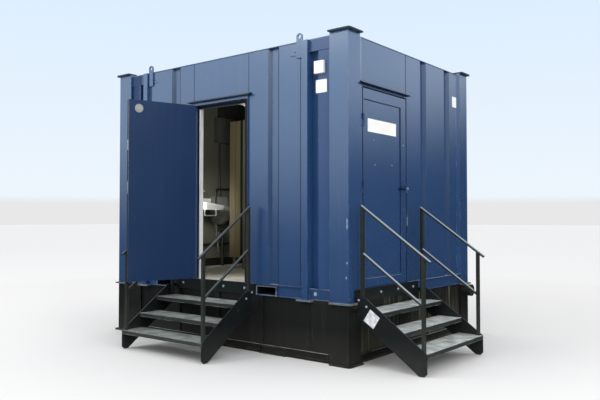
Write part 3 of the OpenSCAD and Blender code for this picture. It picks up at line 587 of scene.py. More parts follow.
def prism(bm: bmesh.types.BMesh, outline: list[Vector], depth: Vector) -> None:
    """Adds a prism to a mesh.

    Args:
        bm: The mesh.
        outline: The points of one end.
        depth: The way from that end to the other.
    """
    low = [bm.verts.new(p) for p in outline]
    high = [bm.verts.new(p + depth) for p in outline]
    bm.faces.new(low[::-1])
    bm.faces.new(high)
    for i, vert in enumerate(low):
        j = (i + 1) % len(low)
        bm.faces.new((vert, low[j], high[j], high[i]))


def loft(bm: bmesh.types.BMesh, rings: list[list[Vector]]) -> None:
    """Adds a skin over a row of rings, closed at both ends, to a mesh.

    Args:
        bm: The mesh.
        rings: The rings, which have the same number of points.
    """
    rows = [[bm.verts.new(p) for p in ring] for ring in rings]
    for low, high in zip(rows, rows[1:]):
        for i in range(len(low)):
            bm.faces.new((low[i - 1], low[i], high[i], high[i - 1]))
    bm.faces.new(rows[0][::-1])
    bm.faces.new(rows[-1])


def slab(bm: bmesh.types.BMesh, side: Side, along: tuple[float, float], up: tuple[float, float],
         out: tuple[float, float]) -> None:
    """Adds a flat slab on a side of the cabin to a mesh.

    Args:
        bm: The mesh.
        side: The side.
        along: Its two ends along the face.
        up: Its lower and upper edge.
        out: The distances of its back and its face out of the posts' face.
    """
    prism(bm, [side.point(along[i], out[0], up[j]) for i, j in SQUARE], side.outward() * (out[1] - out[0]))


def piece(name: str, bm: bmesh.types.BMesh, finish: Finish, body: Body,
          edge: float = 0.0) -> bpy.types.Object:
    """Turns a mesh into a finished piece that rides on a body.

    Args:
        name: The piece's name.
        bm: Its mesh, which is freed.
        finish: Its finish.
        body: The body that carries it.
        edge: The width of the bevel on its edges.

    Returns:
        The piece.
    """
    bmesh.ops.recalc_face_normals(bm, faces=bm.faces)
    if edge:
        bmesh.ops.bevel(bm, geom=list(bm.edges), offset=edge, segments=2, profile=0.6, affect="EDGES",
                        clamp_overlap=True)
    mesh = bpy.data.meshes.new(name)
    bm.to_mesh(mesh)
    bm.free()
    mesh.materials.append(finish.material())
    made = bpy.data.objects.new(name, mesh)
    bpy.context.scene.collection.objects.link(made)
    settle(made, body)
    return made


def settle(made: bpy.types.Object, body: Body) -> None:
    """Lets a piece ride on its body and reports it.

    Args:
        made: The piece.
        body: The body that carries it.
    """
    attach(made, body.value)
    LOG.info("%s rides on %s", made.name, body.value)


def start_tree(name: str, inputs: dict[str, str], output: str) -> bpy.types.NodeTree:
    """Starts a Geometry Nodes tree.

    Args:
        name: The tree's name.
        inputs: The kind of value of each named input.
        output: The name of the geometry that it gives.

    Returns:
        The tree, with no nodes as yet.
    """
    made = bpy.data.node_groups.new(name, "GeometryNodeTree")
    for label, kind in inputs.items():
        made.interface.new_socket(label, in_out="INPUT", socket_type=f"NodeSocket{kind}")
    made.interface.new_socket(output, in_out="OUTPUT", socket_type="NodeSocketGeometry")
    return made


def end_tree(tree: bpy.types.NodeTree, shape: bpy.types.NodeSocket, finish: bpy.types.NodeSocket) -> None:
    """Ends a Geometry Nodes tree with a plain mesh that has its finish.

    Args:
        tree: The tree.
        shape: The geometry so far.
        finish: The material for it.
    """
    solid = add(tree, "GeometryNodeRealizeInstances", {0: shape})
    dressed = add(tree, "GeometryNodeSetMaterial", {"Geometry": solid.outputs[0], "Material": finish})
    add(tree, "NodeGroupOutput", {0: dressed.outputs[0]})


@dataclass(frozen=True)
class Fasteners:
    """A set of heads of one kind, put on points by Geometry Nodes.

    Attributes:
        radius: The head's radius.
        height: The head's height.
        sides: 6 for a hexagon head, more for a round one.
        washer: The washer's radius.
        washer_t: The washer's thickness.
    """

    radius: float
    height: float
    sides: int = 6
    washer: float = 0.0
    washer_t: float = 1.5 * MM

    TREE = "fastener heads"
    # The share of a head's radius that its top has, and that its seat has where there is no washer
    CROWN = 0.82
    SEAT = 1.02
    WASHER_SIDES = 16

    @classmethod
    def tree(cls) -> bpy.types.NodeTree:
        """Builds the node tree once: a head on a washer on each point, turned to the point's aim.

        Returns:
            The tree.
        """
        found = bpy.data.node_groups.get(cls.TREE)
        if found:
            return found
        made = start_tree(cls.TREE, {
            "Points": "Geometry", "Head radius": "Float", "Head height": "Float", "Washer radius": "Float",
            "Washer thickness": "Float", "Sides": "Int", "Finish": "Material"}, "Heads")
        given = add(made, "NodeGroupInput").outputs
        crown = add(made, "ShaderNodeMath", {0: given["Head radius"], 1: cls.CROWN}, operation="MULTIPLY")
        head = add(made, "GeometryNodeMeshCone", {
            "Vertices": given["Sides"], "Radius Top": crown.outputs[0], "Radius Bottom": given["Head radius"],
            "Depth": given["Head height"]})
        raised = add(made, "ShaderNodeCombineXYZ", {2: given["Washer thickness"]})
        lifted = add(made, "GeometryNodeTransform", {"Geometry": head.outputs[0], "Translation": raised.outputs[0]})
        disc = add(made, "GeometryNodeMeshCylinder", {
            "Vertices": cls.WASHER_SIDES, "Radius": given["Washer radius"], "Depth": given["Washer thickness"]})
        half = add(made, "ShaderNodeMath", {0: given["Washer thickness"], 1: 0.5}, operation="MULTIPLY")
        seat = add(made, "ShaderNodeCombineXYZ", {2: half.outputs[0]})
        washer = add(made, "GeometryNodeTransform", {"Geometry": disc.outputs[0], "Translation": seat.outputs[0]})
        bolt = add(made, "GeometryNodeJoinGeometry")
        made.links.new(lifted.outputs[0], bolt.inputs[0])
        made.links.new(washer.outputs[0], bolt.inputs[0])
        aim = add(made, "GeometryNodeInputNamedAttribute", {"Name": "aim"}, data_type="FLOAT_VECTOR")
        turned = add(made, "FunctionNodeAlignRotationToVector", {"Vector": aim.outputs[0]}, axis="Z")
        placed = add(made, "GeometryNodeInstanceOnPoints", {
            "Points": given["Points"], "Instance": bolt.outputs[0], "Rotation": turned.outputs[0]})
        end_tree(made, placed.outputs[0], given["Finish"])
        return made

    def put(self, name: str, places: list[tuple[Vector, Vector]], finish: Finish, body: Body, slot: Slot) -> None:
        """Puts a head on each place, as one plain mesh.

        Args:
            name: The piece's name.
            places: Each head's seat and the direction that it faces.
            finish: The heads' finish.
            body: The body that carries them.
            slot: The record's slot for their material; not used.
        """
        mesh = bpy.data.meshes.new(name)
        mesh.from_pydata([seat for seat, _ in places], [], [])
        aim = mesh.attributes.new("aim", "FLOAT_VECTOR", "POINT")
        for i, (_, way) in enumerate(places):
            aim.data[i].vector = way
        values = {"Head radius": self.radius, "Head height": self.height, "Sides": self.sides,
                  "Washer radius": self.washer or self.radius * self.SEAT, "Washer thickness": self.washer_t,
                  "Finish": finish.material()}
        grow(name, mesh, self.tree(), values, body)


def grow(name: str, mesh: bpy.types.Mesh, tree: bpy.types.NodeTree, values: dict[str, object],
         body: Body) -> None:
    """Runs a Geometry Nodes tree on a mesh and keeps the result as a plain piece.

    Args:
        name: The piece's name.
        mesh: The points or lines that the tree starts from.
        tree: The tree.
        values: A value for each of the tree's named inputs.
        body: The body that carries the piece.
    """
    made = bpy.data.objects.new(name, mesh)
    bpy.context.scene.collection.objects.link(made)
    modifier = made.modifiers.new(tree.name, "NODES")
    modifier.node_group = tree
    for item in tree.interface.items_tree:
        if item.item_type == "SOCKET" and item.in_out == "INPUT" and item.name in values:
            modifier[item.identifier] = values[item.name]
    shown = made.evaluated_get(bpy.context.evaluated_depsgraph_get())
    plain = bpy.data.meshes.new_from_object(shown)
    made.modifiers.remove(modifier)
    made.data = plain
    bpy.data.meshes.remove(mesh)
    settle(made, body)


@dataclass(frozen=True)
class Bead:
    """A bead of one section that follows a path, such as a seal or a line of sealant.

    Attributes:
        width: The bead's width.
    """

    width: float

    TREE = "bead along a path"
    SIDES = 8

    @classmethod
    def tree(cls) -> bpy.types.NodeTree:
        """Builds the node tree once: a round section swept along the mesh's edges.

        Returns:
            The tree.
        """
        found = bpy.data.node_groups.get(cls.TREE)
        if found:
            return found
        made = start_tree(cls.TREE, {"Path": "Geometry", "Width": "Float", "Finish": "Material"}, "Bead")
        given = add(made, "NodeGroupInput").outputs
        line = add(made, "GeometryNodeMeshToCurve", {0: given["Path"]})
        half = add(made, "ShaderNodeMath", {0: given["Width"], 1: 0.5}, operation="MULTIPLY")
        section = add(made, "GeometryNodeCurvePrimitiveCircle", {"Resolution": cls.SIDES, "Radius": half.outputs[0]})
        swept = add(made, "GeometryNodeCurveToMesh", {
            "Curve": line.outputs[0], "Profile Curve": section.outputs[0], "Fill Caps": True})
        end_tree(made, swept.outputs[0], given["Finish"])
        return made

    def run(self, name: str, paths: list[list[Vector]], finish: Finish, body: Body, slot: Slot) -> None:
        """Runs the bead along each path, as one plain mesh.

        Args:
            name: The piece's name.
            paths: The points of each path.
            finish: The bead's finish.
            body: The body that carries it.
            slot: The record's slot for its material; not used.
        """
        points: list[Vector] = []
        edges: list[tuple[int, int]] = []
        for path in paths:
            start = len(points)
            points += path
            edges += [(start + i, start + i + 1) for i in range(len(path) - 1)]
        mesh = bpy.data.meshes.new(name)
        mesh.from_pydata(points, edges, [])
        values = {"Width": self.width, "Finish": finish.material()}
        grow(name, mesh, self.tree(), values, body)


class Head:
    """The kinds of fastener heads on the cabin."""

    RIVET = Fasteners(3 * MM, 1.5 * MM, 10)
    SCREW = Fasteners(6 * MM, 3 * MM, 12)
    TREAD_BOLT = Fasteners(6 * MM, 3 * MM, 10)
    STRINGER_BOLT = Fasteners(8 * MM, 6 * MM, 6, 11 * MM, 2 * MM)
    HANGER_BOLT = Fasteners(9 * MM, 8 * MM, 6, 13 * MM, 3 * MM)
    LEG_BOLT = Fasteners(12 * MM, 8 * MM, 6, 17 * MM, 2 * MM)
    STAPLE = Fasteners(13 * MM, 15 * MM, 14, 15 * MM, 4 * MM)


class Line:
    """The kinds of beads on the cabin and in it."""

    WELD = Bead(6 * MM)
    SCRAPED_EDGE = Bead(5 * MM)
    JOINT = Bead(5 * MM)
    SEAM = Bead(22 * MM)
    RAIL_EDGE = Bead(4 * MM)
    LEAF_FOOT = Bead(3 * MM)
    PANEL_SHADOW = Bead(7 * MM)
    BRACKET = Bead(9 * MM)
    TAP = Bead(18 * MM)
    PIPE = Bead(28 * MM)
    WASTE = Bead(26 * MM)
    PLANK_JOINT = Bead(4 * MM)


@dataclass(frozen=True)
class Plate:
    """A bare white plate.

    Attributes:
        name: The plate's name.
        side: The side that it is on.
        along: Its middle along the face.
        up: The height of its middle.
        width: Its width.
        height: Its height.
        radius: The radius of its corners.
        body: The body that carries it.
        riveted: Whether it has a rivet in each corner.
    """

    name: str
    side: Side
    along: float
    up: float
    width: float
    height: float
    radius: float = 6 * MM
    body: Body = Body.CABIN
    riveted: bool = True

    THICK = 2 * MM
    # The distance of the rivets from the plate's edges
    RIVET_IN = 10 * MM

    def build(self, out: float) -> None:
        """Adds the plate and its rivets.

        Args:
            out: The distance of its seat out of the posts' face.
        """
        bm = bmesh.new()
        outline = rounded(self.width, self.height, self.radius)
        prism(bm, [self.side.point(self.along + a, out, self.up + b) for a, b in outline],
              self.side.outward() * self.THICK)
        piece(self.name, bm, Paint.WHITE, self.body)
        if not self.riveted:
            return
        right, top = self.width / 2 - self.RIVET_IN, self.height / 2 - self.RIVET_IN
        places = [(self.side.point(self.along + sa * right, out + self.THICK, self.up + sb * top), self.side.outward())
                  for sa in (-1, 1) for sb in (-1, 1)]
        Head.RIVET.put(self.name + "_rivets", places, Paint.ZINC, self.body, Slot.ZINC)


@dataclass
class Group:
    """A sub-assembly: the CAD nodes that it dresses, by finish."""

    finishes: dict[Finish, tuple[str, ...]] = field(default_factory=dict)

    def dress(self, nodes: dict[str, bpy.types.Object]) -> None:
        """Gives each CAD node of the group its finish.

        Args:
            nodes: The frame's CAD nodes by name.
        """
        for finish, names in self.finishes.items():
            for name in names:
                mesh = nodes[name].data
                mesh.materials.clear()
                mesh.materials.append(finish.material())
                LOG.info("%s gets %s", name, finish.name)

    def build(self) -> None:
        """Adds the group's own fittings."""


@dataclass
class Tank(Group):
    """The black waste tank under the cabin.

    Attributes:
        weld_end: The distance of a foot rail's weld from the rail's ends.
        weld_in: Its distance behind the rail's face.
        cover: The distance of the corner covers' welds from the middle.
        cover_in: Their distance behind the covers' face.
        cover_top: Their distance below the covers' tops.
        skid: Half the length of the scraped edges, on the long and the short sides.
        skid_in: Their distance behind the rails' face.
    """

    finishes: dict[Finish, tuple[str, ...]] = field(default_factory=lambda: {
        Paint.TANK: ("tank_floor", "tank_side_walls", "tank_deck", "tank_corner_posts"),
        Paint.TANK_MUDDY: ("tank_end_walls",),
        Paint.TANK_SCRAPED: ("tank_foot_rails", "tank_feet"),
        Paint.PIPE: ("tank_outlet",)})
    weld_end: float = 0.2
    weld_in: float = 12 * MM
    cover: float = 1.207
    cover_in: float = 3 * MM
    cover_top: float = 20 * MM
    skid: tuple[float, float] = (1.38, 0.85)
    skid_in: float = 1 * MM

    def build(self) -> None:
        """Adds the welds on the foot rails and up the corner covers, and the scraped edges of the rails."""
        rails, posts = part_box("tank_foot_rails"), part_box("tank_corner_posts")
        top = rails[1].z
        welds, edges = [], []
        for sides, half, skid in zip((LONG_SIDES, SHORT_SIDES), rails[1].xy, self.skid):
            for side in sides:
                face = side.span(rails)[1]
                welds.append([side.point(s * (half - self.weld_end), face - self.weld_in, top) for s in (-1, 1)])
                edges.append([side.point(s * skid, face - self.skid_in, top) for s in (-1, 1)])
        for side in LONG_SIDES:
            out = side.span(posts)[1] - self.cover_in
            welds += [[side.point(s * self.cover, out, z) for z in (top, posts[1].z - self.cover_top)] for s in (-1, 1)]
        Line.WELD.run("tank_welds", welds, Paint.TANK_SCRAPED, Body.CABIN, Slot.TANK)
        Line.SCRAPED_EDGE.run("skid_edges", edges, Paint.SCRAPED, Body.CABIN, Slot.TANK)


@dataclass
class Shell(Group):
    """The cabin's frame, walls, roof and jack legs.

    Attributes:
        leg_plate: The plate on the right front leg.
        end_plate: The plate on the end wall.
        fold: The width of the slanted strip between a wall and a post.
        fold_in: The distance of its outer edge behind the posts' face.
        fold_over: Its distance above the drip strips.
        joint_foot: The distance of the upright joints and shadow lines from the walls' foot.
        joint_over: The same over a door, where the frame laps the wall.
        swage_ends: The right edges of the front wall's swages, where painted shadow lines run.
        guide_in: The distance of the painted shadow lines beside the leg guides from the middle.
        eave: Half the length of the joint under the roof, on the long sides.
        eave_down: Its distance below the walls' tops.
        eye_feet: The two ends and the height of each painted shadow line at a lifting eye.
        roof_seams: The places of the roof's seams along the length.
        seam_in: The distance of their ends from the roof's sides.
        sill: The two ends of the plate at the foot of a leg's recess.
        sill_down: The distance of its top below the rails' tops.
        sill_out: The distances of its back and its face out of the leg's face.
        sill_bolt: The distance of its bolt from its inner end, and the bolt's height.
        leg_painted_shade: The two sides of the dark sheet of painted shade on the left front leg.
        head_painted_shade: The two sides of the dark sheet of painted shade over that leg.
        cover_t: The thickness of both sheets of painted shade.
        head_painted_shade_out: The distance of the upper sheet's back out of the posts' face.
        shade_sheet_gaps: The gaps below and above the leg's top, and below the walls' tops.
        pockets: The middles of the fork pockets along the length.
        pocket: Half a pocket's width, and the heights of its foot and its head.
        shade_sheet_t: The thickness of the black sheets that paint the shade inside a pocket.
        shade_sheet_in: The distance of those sheets' ends from the pockets' ends.
        rail_edge: Where the painted highlight along the end's rail starts.
        rail_edge_in: Its distance behind the posts' face.
        chips: Each paint chip's side, middle along and up, width, height and distance out of the posts' face.
        chip: The outline of a chip, in shares of its width and height.
        chip_t: The thickness of a chip.
    """

    finishes: dict[Finish, tuple[str, ...]] = field(default_factory=lambda: {
        Paint.NAVY: ("base_rails", "corner_posts", "front_wall_left",
                     "front_wall_right", "front_wall_over_door", "end_wall_far", "end_wall_over_door", "back_wall",
                     "left_wall", "roof", "leg_guides", "lifting_eyes", "front_door_frame", "end_door_frame"),
        Paint.NAVY_RECESS: ("leg_recesses", "jack_legs"),
        Paint.NAVY_RUBBED: ("fork_pockets",),
        Paint.PLATE: ("bottom_corner_plates",),
        Paint.CHALKY: ("top_corner_plates",),
        Paint.NAVY_DEEP_SHADE: ("drip_strips",),
        Paint.WHITE: ("supply_box",)})
    leg_plate: Plate = Plate("leg_plate", Side.FRONT, 1.294, 2.465, 0.122, 0.118)
    end_plate: Plate = Plate("end_plate", Side.END, 0.955, 2.582, 0.155, 0.118)
    fold: float = 55 * MM
    fold_in: float = 1 * MM
    fold_over: float = 2 * MM
    joint_foot: float = 5 * MM
    joint_over: float = 26 * MM
    swage_ends: tuple[float, ...] = (-0.584, 0.798)
    guide_in: float = 1.06
    eave: float = 1.09
    eave_down: float = 3 * MM
    eye_feet: tuple[tuple[tuple[float, float], float], ...] = (((0.985, 1.085), 2.813), ((0.94, 1.085), 2.78))
    roof_seams: tuple[float, ...] = (-1.0, -0.5, 0.0, 0.5, 1.0)
    seam_in: float = 20 * MM
    sill: tuple[float, float] = (1.162, 1.4)
    sill_down: float = 8 * MM
    sill_out: tuple[float, float] = (-26 * MM, 5 * MM)
    sill_bolt: tuple[float, float] = (66 * MM, 0.6)
    leg_painted_shade: tuple[float, float] = (-1.378, -1.285)
    head_painted_shade: tuple[float, float] = (-1.392, -1.24)
    cover_t: float = 2 * MM
    head_painted_shade_out: float = -20 * MM
    shade_sheet_gaps: tuple[float, float, float] = (2 * MM, 4 * MM, 6 * MM)
    pockets: tuple[float, ...] = (-0.8, 0.66)
    pocket: tuple[float, float, float] = (0.1165, 0.559, 0.629)
    shade_sheet_t: float = 1 * MM
    shade_sheet_in: float = 15 * MM
    rail_edge: float = -0.17
    rail_edge_in: float = 1 * MM
    chips: tuple[tuple[Side, float, float, float, float, float], ...] = (
        (Side.FRONT, 1.585, 1.23, 6 * MM, 0.105, 0.0), (Side.FRONT, 1.583, 0.893, 7 * MM, 0.02, 0.0),
        (Side.FRONT, 1.575, 0.765, 6 * MM, 0.025, 0.0), (Side.END, -0.186, 1.25, 5 * MM, 0.1, -4 * MM))
    chip: tuple[tuple[float, float], ...] = (
        (0.0, -0.5), (0.45, -0.3), (0.3, 0.05), (0.5, 0.3), (0.1, 0.5), (-0.4, 0.35), (-0.25, 0.0), (-0.5, -0.25))
    chip_t: float = 0.4 * MM

    def build(self) -> None:
        """Adds the plates, the joints, shadow lines and folds of the walls, the sills, the chips, the painted shade in
        the fork pockets and the painted highlight on the end's rail.
        """
        leg = Side.FRONT.span(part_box("jack_legs"))[1]
        wall = Side.END.span(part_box("end_wall_far"))[1]
        self.leg_plate.build(leg)
        self.end_plate.build(wall)
        self.joints(wall)
        self.folds(wall)
        self.sills(leg)
        self.scars()
        self.shade_sheets()
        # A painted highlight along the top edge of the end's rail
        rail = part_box("base_rails")[1].z
        ends = (self.rail_edge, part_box("left_wall")[1].y)
        line = [Side.END.point(along, -self.rail_edge_in, rail) for along in ends]
        Line.RAIL_EDGE.run("end_rail_edge", [line], Paint.THIN_NAVY, Body.CABIN, Slot.CABIN)

    def joints(self, wall: float) -> None:
        """Adds the sealant between the panels, painted shadow lines along the swages and guides and under the lifting
        eyes, and the seams of the roof.

        Args:
            wall: The distance of the walls' face out of the posts' face.
        """
        low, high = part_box("left_wall")
        upright = (low.z + self.joint_foot, high.z)
        # Painted shadow lines at the swages' right edges and beside the leg guides
        lines = [[Side.FRONT.point(along, wall, z) for z in upright] for along in self.swage_ends]
        lines += [[side.point(s * self.guide_in, wall, z) for z in upright] for side in LONG_SIDES for s in (-1, 1)]
        # The roof's edge, and painted shadow lines at the feet of the lifting eyes
        lines += [[side.point(s * half, wall, high.z - self.eave_down) for s in (-1, 1)]
                  for sides, half in ((LONG_SIDES, self.eave), (SHORT_SIDES, high.y)) for side in sides]
        lines += [[side.point(s * along, wall, z) for along in ends]
                  for side in LONG_SIDES for s in (-1, 1) for ends, z in self.eye_feet]
        # The sides of the panels over the doors
        for side, node, ends in ((Side.FRONT, "front_wall_over_door", (0, 1)), (Side.END, "end_wall_over_door", (1,))):
            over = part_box(node)
            for i in ends:
                lines.append([side.point(over[i].dot(side.run()), side.span(over)[1], z)
                              for z in (over[0].z + self.joint_over, high.z)])
        Line.JOINT.run("wall_joints_and_shadow_lines", lines, Paint.SEALANT_AND_SHADE, Body.CABIN, Slot.CABIN)
        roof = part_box("roof")[1]
        seams = [[Vector((x, s * (roof.y - self.seam_in), roof.z)) for s in (-1, 1)] for x in self.roof_seams]
        Line.SEAM.run("roof_seams", seams, Paint.NAVY, Body.CABIN, Slot.CABIN)

    def folds(self, wall: float) -> None:
        """Adds the slanted strips that fold the end walls into the corner posts.

        Args:
            wall: The distance of the walls' face out of the posts' face.
        """
        low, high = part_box("left_wall")
        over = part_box("drip_strips")[1].z + self.fold_over
        bm = bmesh.new()
        for side, along, foot in ((Side.END, high.y, low.z), (Side.END, low.y, over),
                                  (Side.LEFT, high.y, low.z), (Side.LEFT, low.y, low.z)):
            inner = along - math.copysign(self.fold, along)
            outline = [side.point(u, out, foot) for u, out in ((along, -self.fold_in), (inner, wall), (along, wall))]
            prism(bm, outline, Vector((0, 0, high.z - foot)))
        piece("wall_folds", bm, Paint.NAVY, Body.CABIN)

    def sills(self, leg: float) -> None:
        """Adds the plate and bolt at the foot of each leg's recess, and dark sheets of painted shade on and over the
        left front leg.

        Args:
            leg: The distance of the legs' face out of the posts' face.
        """
        rails, legs_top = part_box("base_rails"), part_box("jack_legs")[1].z
        back, face = (leg + out for out in self.sill_out)
        bolt_in, bolt_up = self.sill_bolt
        bm = bmesh.new()
        bolts = []
        for side in LONG_SIDES:
            for s in (-1, 1):
                ends = sorted(s * along for along in self.sill)
                slab(bm, side, (ends[0], ends[1]), (rails[0].z, rails[1].z - self.sill_down), (back, face))
                bolts.append((side.point(s * (self.sill[0] + bolt_in), face, bolt_up), side.outward()))
        piece("leg_sills", bm, Paint.NAVY_RUBBED, Body.CABIN, edge=1 * MM)
        # Dark sheets on the left front leg and over it paint the shade of the deep recess there
        below, above, under = self.shade_sheet_gaps
        bm = bmesh.new()
        slab(bm, Side.FRONT, self.leg_painted_shade, (rails[1].z, legs_top - below), (leg, leg + self.cover_t))
        slab(bm, Side.FRONT, self.head_painted_shade, (legs_top + above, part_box("left_wall")[1].z - under),
             (self.head_painted_shade_out, self.head_painted_shade_out + self.cover_t))
        piece("left_leg_painted_shade", bm, Paint.NAVY_SHADE, Body.CABIN)
        Head.LEG_BOLT.put("leg_bolts", bolts, Paint.CAST, Body.CABIN, Slot.ZINC)

    def shade_sheets(self) -> None:
        """Adds thin black sheets inside the fork pockets that paint their shade; the pockets stay open."""
        bm = bmesh.new()
        half, low, high = self.pocket
        thin = self.shade_sheet_t
        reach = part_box("fork_pockets")[1].y - self.shade_sheet_in
        for middle in self.pockets:
            for x, z in (((-half, half), (low, low + thin)), ((-half, half), (high - thin, high)),
                         ((-half, thin - half), (low, high)), ((half - thin, half), (low, high))):
                corners = [Vector((middle + x[i], -reach, z[j])) for i, j in SQUARE]
                prism(bm, corners, Vector((0, 2 * reach, 0)))
        piece("pocket_shade_sheets", bm, Paint.RUBBER, Body.CABIN)

    def scars(self) -> None:
        """Adds the places where the paint is knocked off, as thin flakes of bare primer."""
        bm = bmesh.new()
        for side, along, up, width, height, out in self.chips:
            prism(bm, [side.point(along + a * width, out, up + b * height) for a, b in self.chip],
                  side.outward() * self.chip_t)
        piece("paint_chips", bm, Paint.PRIMER, Body.CABIN)


@dataclass
class Doors(Group):
    """Both doors, with their seals and fittings.

    Attributes:
        sign: The bare sign on the end leaf.
        sign_in: The distance of its seat behind the leaf's face.
        opening: The sides of the front opening.
        leaf_edge_x: The free side of the front leaf when it is closed.
        leaf_in: The distance of that leaf's outer face behind the posts' face.
        hinge: The front hinge's place in plan.
        ajar: How far the front leaf stands open, in degrees.
        strip_end: The distance of the strips on its edge from its foot and its head.
        strip_t: The thickness of those strips.
        edge_seal: The depths of the seal's two sides behind the leaf's outer face.
        edge_trim: The same for the trim.
        edge_strike: The same for the strike plates.
        strike_t: The thickness of the strike plates.
        strikes: The feet and heads of the strike plates.
        head: The height of the openings' heads.
        head_lap: How far the seals reach over the heads.
        stop: The distance of the rebate's stop face out of the posts' face.
        seal_foot: The distance of the seals from the frame's foot.
        seal_t: The thickness of the seals on the stop faces.
        seal_hinge: The two sides of the hinge side's seal, from the opening.
        seal_lock: The two sides of the lock side's seal, from the opening.
        seal_head: The distance of the upper seal over the head.
        gap_out: The distances of the back and the face of the black strips of painted shade round a leaf out of the
            posts' face.
        lock_gap: The two sides of the black strip of painted shade on the front opening's lock side, from the opening.
        end_gap: The outer sides of the gap round the end leaf, which black strips of painted shade fill.
        end_gap_w: The width of that gap on its hinge side and over the leaf, and on its lock side.
        end_top: The top of that gap.
        gusset_size: The width and height of the gusset.
        gusset_t: The thickness of the gusset.
        gusset_in: The distance of its back from the frame's inner side.
        gusset_steps: How many parts its hollow has.
        lining_t: The thickness of the jamb's lining.
        lining_w: The width of its leg on the stop face.
        screws: Each screw's place along, out and up on the end leaf.
        hasp_ends: The two ends of the hasp along the end.
        hasp_up: Its lower and upper edge.
        hasp_out: The distances of its back and its face out of the posts' face.
        staple: The staple's place along, out and up.
        foot_line: The two ends of the pale line along the end leaf's foot, its distance out and its height.
        panel_shadow: The points of the painted shadow line along the top and lock side of the end leaf's sunk panel,
            along and up.
        panel_shadow_out: That line's distance out of the posts' face.
    """

    finishes: dict[Finish, tuple[str, ...]] = field(default_factory=lambda: {
        Paint.NAVY: ("end_door_leaf", "end_door_knuckles", "end_hinge_pins", "front_door_knuckles", "front_hinge_pins"),
        Paint.NAVY_SHADE: ("front_door_leaf",),
        Paint.NAVY_RECESS: ("end_door_lock",),
        Paint.CAST: ("front_door_lock",),
        Paint.GREY_RUBBER: ("front_door_bumper",)})
    sign: Plate = Plate("end_sign", Side.END, -0.637, 2.125, 0.505, 0.12, 4 * MM, Body.END_DOOR, riveted=False)
    sign_in: float = 8 * MM
    opening: tuple[float, float] = (-0.298, 0.336)
    leaf_edge_x: float = 0.382
    leaf_in: float = 4 * MM
    hinge: tuple[float, float] = (-0.332, -1.226)
    ajar: float = 109.0
    strip_end: float = 5 * MM
    strip_t: float = 1.5 * MM
    edge_seal: tuple[float, float] = (6 * MM, 34 * MM)
    edge_trim: tuple[float, float] = (38 * MM, 43 * MM)
    edge_strike: tuple[float, float] = (10 * MM, 32 * MM)
    strike_t: float = 2.5 * MM
    strikes: tuple[tuple[float, float], ...] = ((1.95, 2.05), (1.52, 1.64))
    head: float = 2.42
    head_lap: float = 30 * MM
    stop: float = -54 * MM
    seal_foot: float = 4 * MM
    seal_t: float = 3.5 * MM
    seal_hinge: tuple[float, float] = (-36 * MM, -20 * MM)
    seal_lock: tuple[float, float] = (1 * MM, 30 * MM)
    seal_head: float = 2 * MM
    gap_out: tuple[float, float] = (-4 * MM, -3.2 * MM)
    lock_gap: tuple[float, float] = (51.5 * MM, 77 * MM)
    end_gap: tuple[float, float] = (-0.982, -0.204)
    end_gap_w: tuple[float, float] = (9 * MM, 13 * MM)
    end_top: float = 2.454
    gusset_size: tuple[float, float] = (0.13, 0.075)
    gusset_t: float = 3 * MM
    gusset_in: float = 4 * MM
    gusset_steps: int = 8
    lining_t: float = 2 * MM
    lining_w: float = 18 * MM
    screws: tuple[tuple[float, float, float], ...] = (
        (-0.789, -12 * MM, 1.995), (-0.262, -4 * MM, 1.99), (-0.770, -12 * MM, 1.769), (-0.463, -12 * MM, 1.782))
    hasp_ends: tuple[float, float] = (-0.34, -0.214)
    hasp_up: tuple[float, float] = (1.556, 1.571)
    hasp_out: tuple[float, float] = (-2 * MM, 6 * MM)
    staple: tuple[float, float, float] = (-0.196, -4 * MM, 1.568)
    foot_line: tuple[tuple[float, float], float, float] = ((-0.947, -0.303), -4.5 * MM, 0.739)
    panel_shadow: tuple[tuple[float, float], ...] = ((-0.96, 2.351), (-0.3075, 2.351), (-0.3075, 0.76))
    panel_shadow_out: float = -8.5 * MM

    def build(self) -> None:
        """Adds the bare sign, the seals, the linings and the fittings on the leaves."""
        self.sign.build(Side.END.span(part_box("end_door_leaf"))[1] - self.sign_in)
        self.seals()
        self.jamb_lining()
        self.gusset()
        self.leaf_edge()
        places = [(Side.END.point(*place), Side.END.outward()) for place in self.screws]
        Head.SCREW.put("end_leaf_screws", places, Paint.CAST, Body.END_DOOR, Slot.ZINC)
        self.hasp()

    def hasp(self) -> None:
        """Adds the end door's hasp, the staple's knob, the pale line at the leaf's foot and the painted shadow line at
        the panel's edge.
        """
        bm = bmesh.new()
        slab(bm, Side.END, self.hasp_ends, self.hasp_up, self.hasp_out)
        piece("end_hasp", bm, Paint.NAVY_DEEP_SHADE, Body.END_DOOR, edge=1.5 * MM)
        knob = [(Side.END.point(*self.staple), Side.END.outward())]
        Head.STAPLE.put("end_staple", knob, Paint.CAST, Body.CABIN, Slot.ZINC)
        ends, out, up = self.foot_line
        line = [Side.END.point(along, out, up) for along in ends]
        Line.LEAF_FOOT.run("end_leaf_foot", [line], Paint.THIN_NAVY, Body.END_DOOR, Slot.CABIN)
        # A painted shadow line along the sunk panel's top and lock-side edges
        panel_shadow = [Side.END.point(along, self.panel_shadow_out, z) for along, z in self.panel_shadow]
        Line.PANEL_SHADOW.run("end_leaf_panel_shadow", [panel_shadow], Paint.SEALANT_AND_SHADE, Body.END_DOOR, Slot.CABIN)

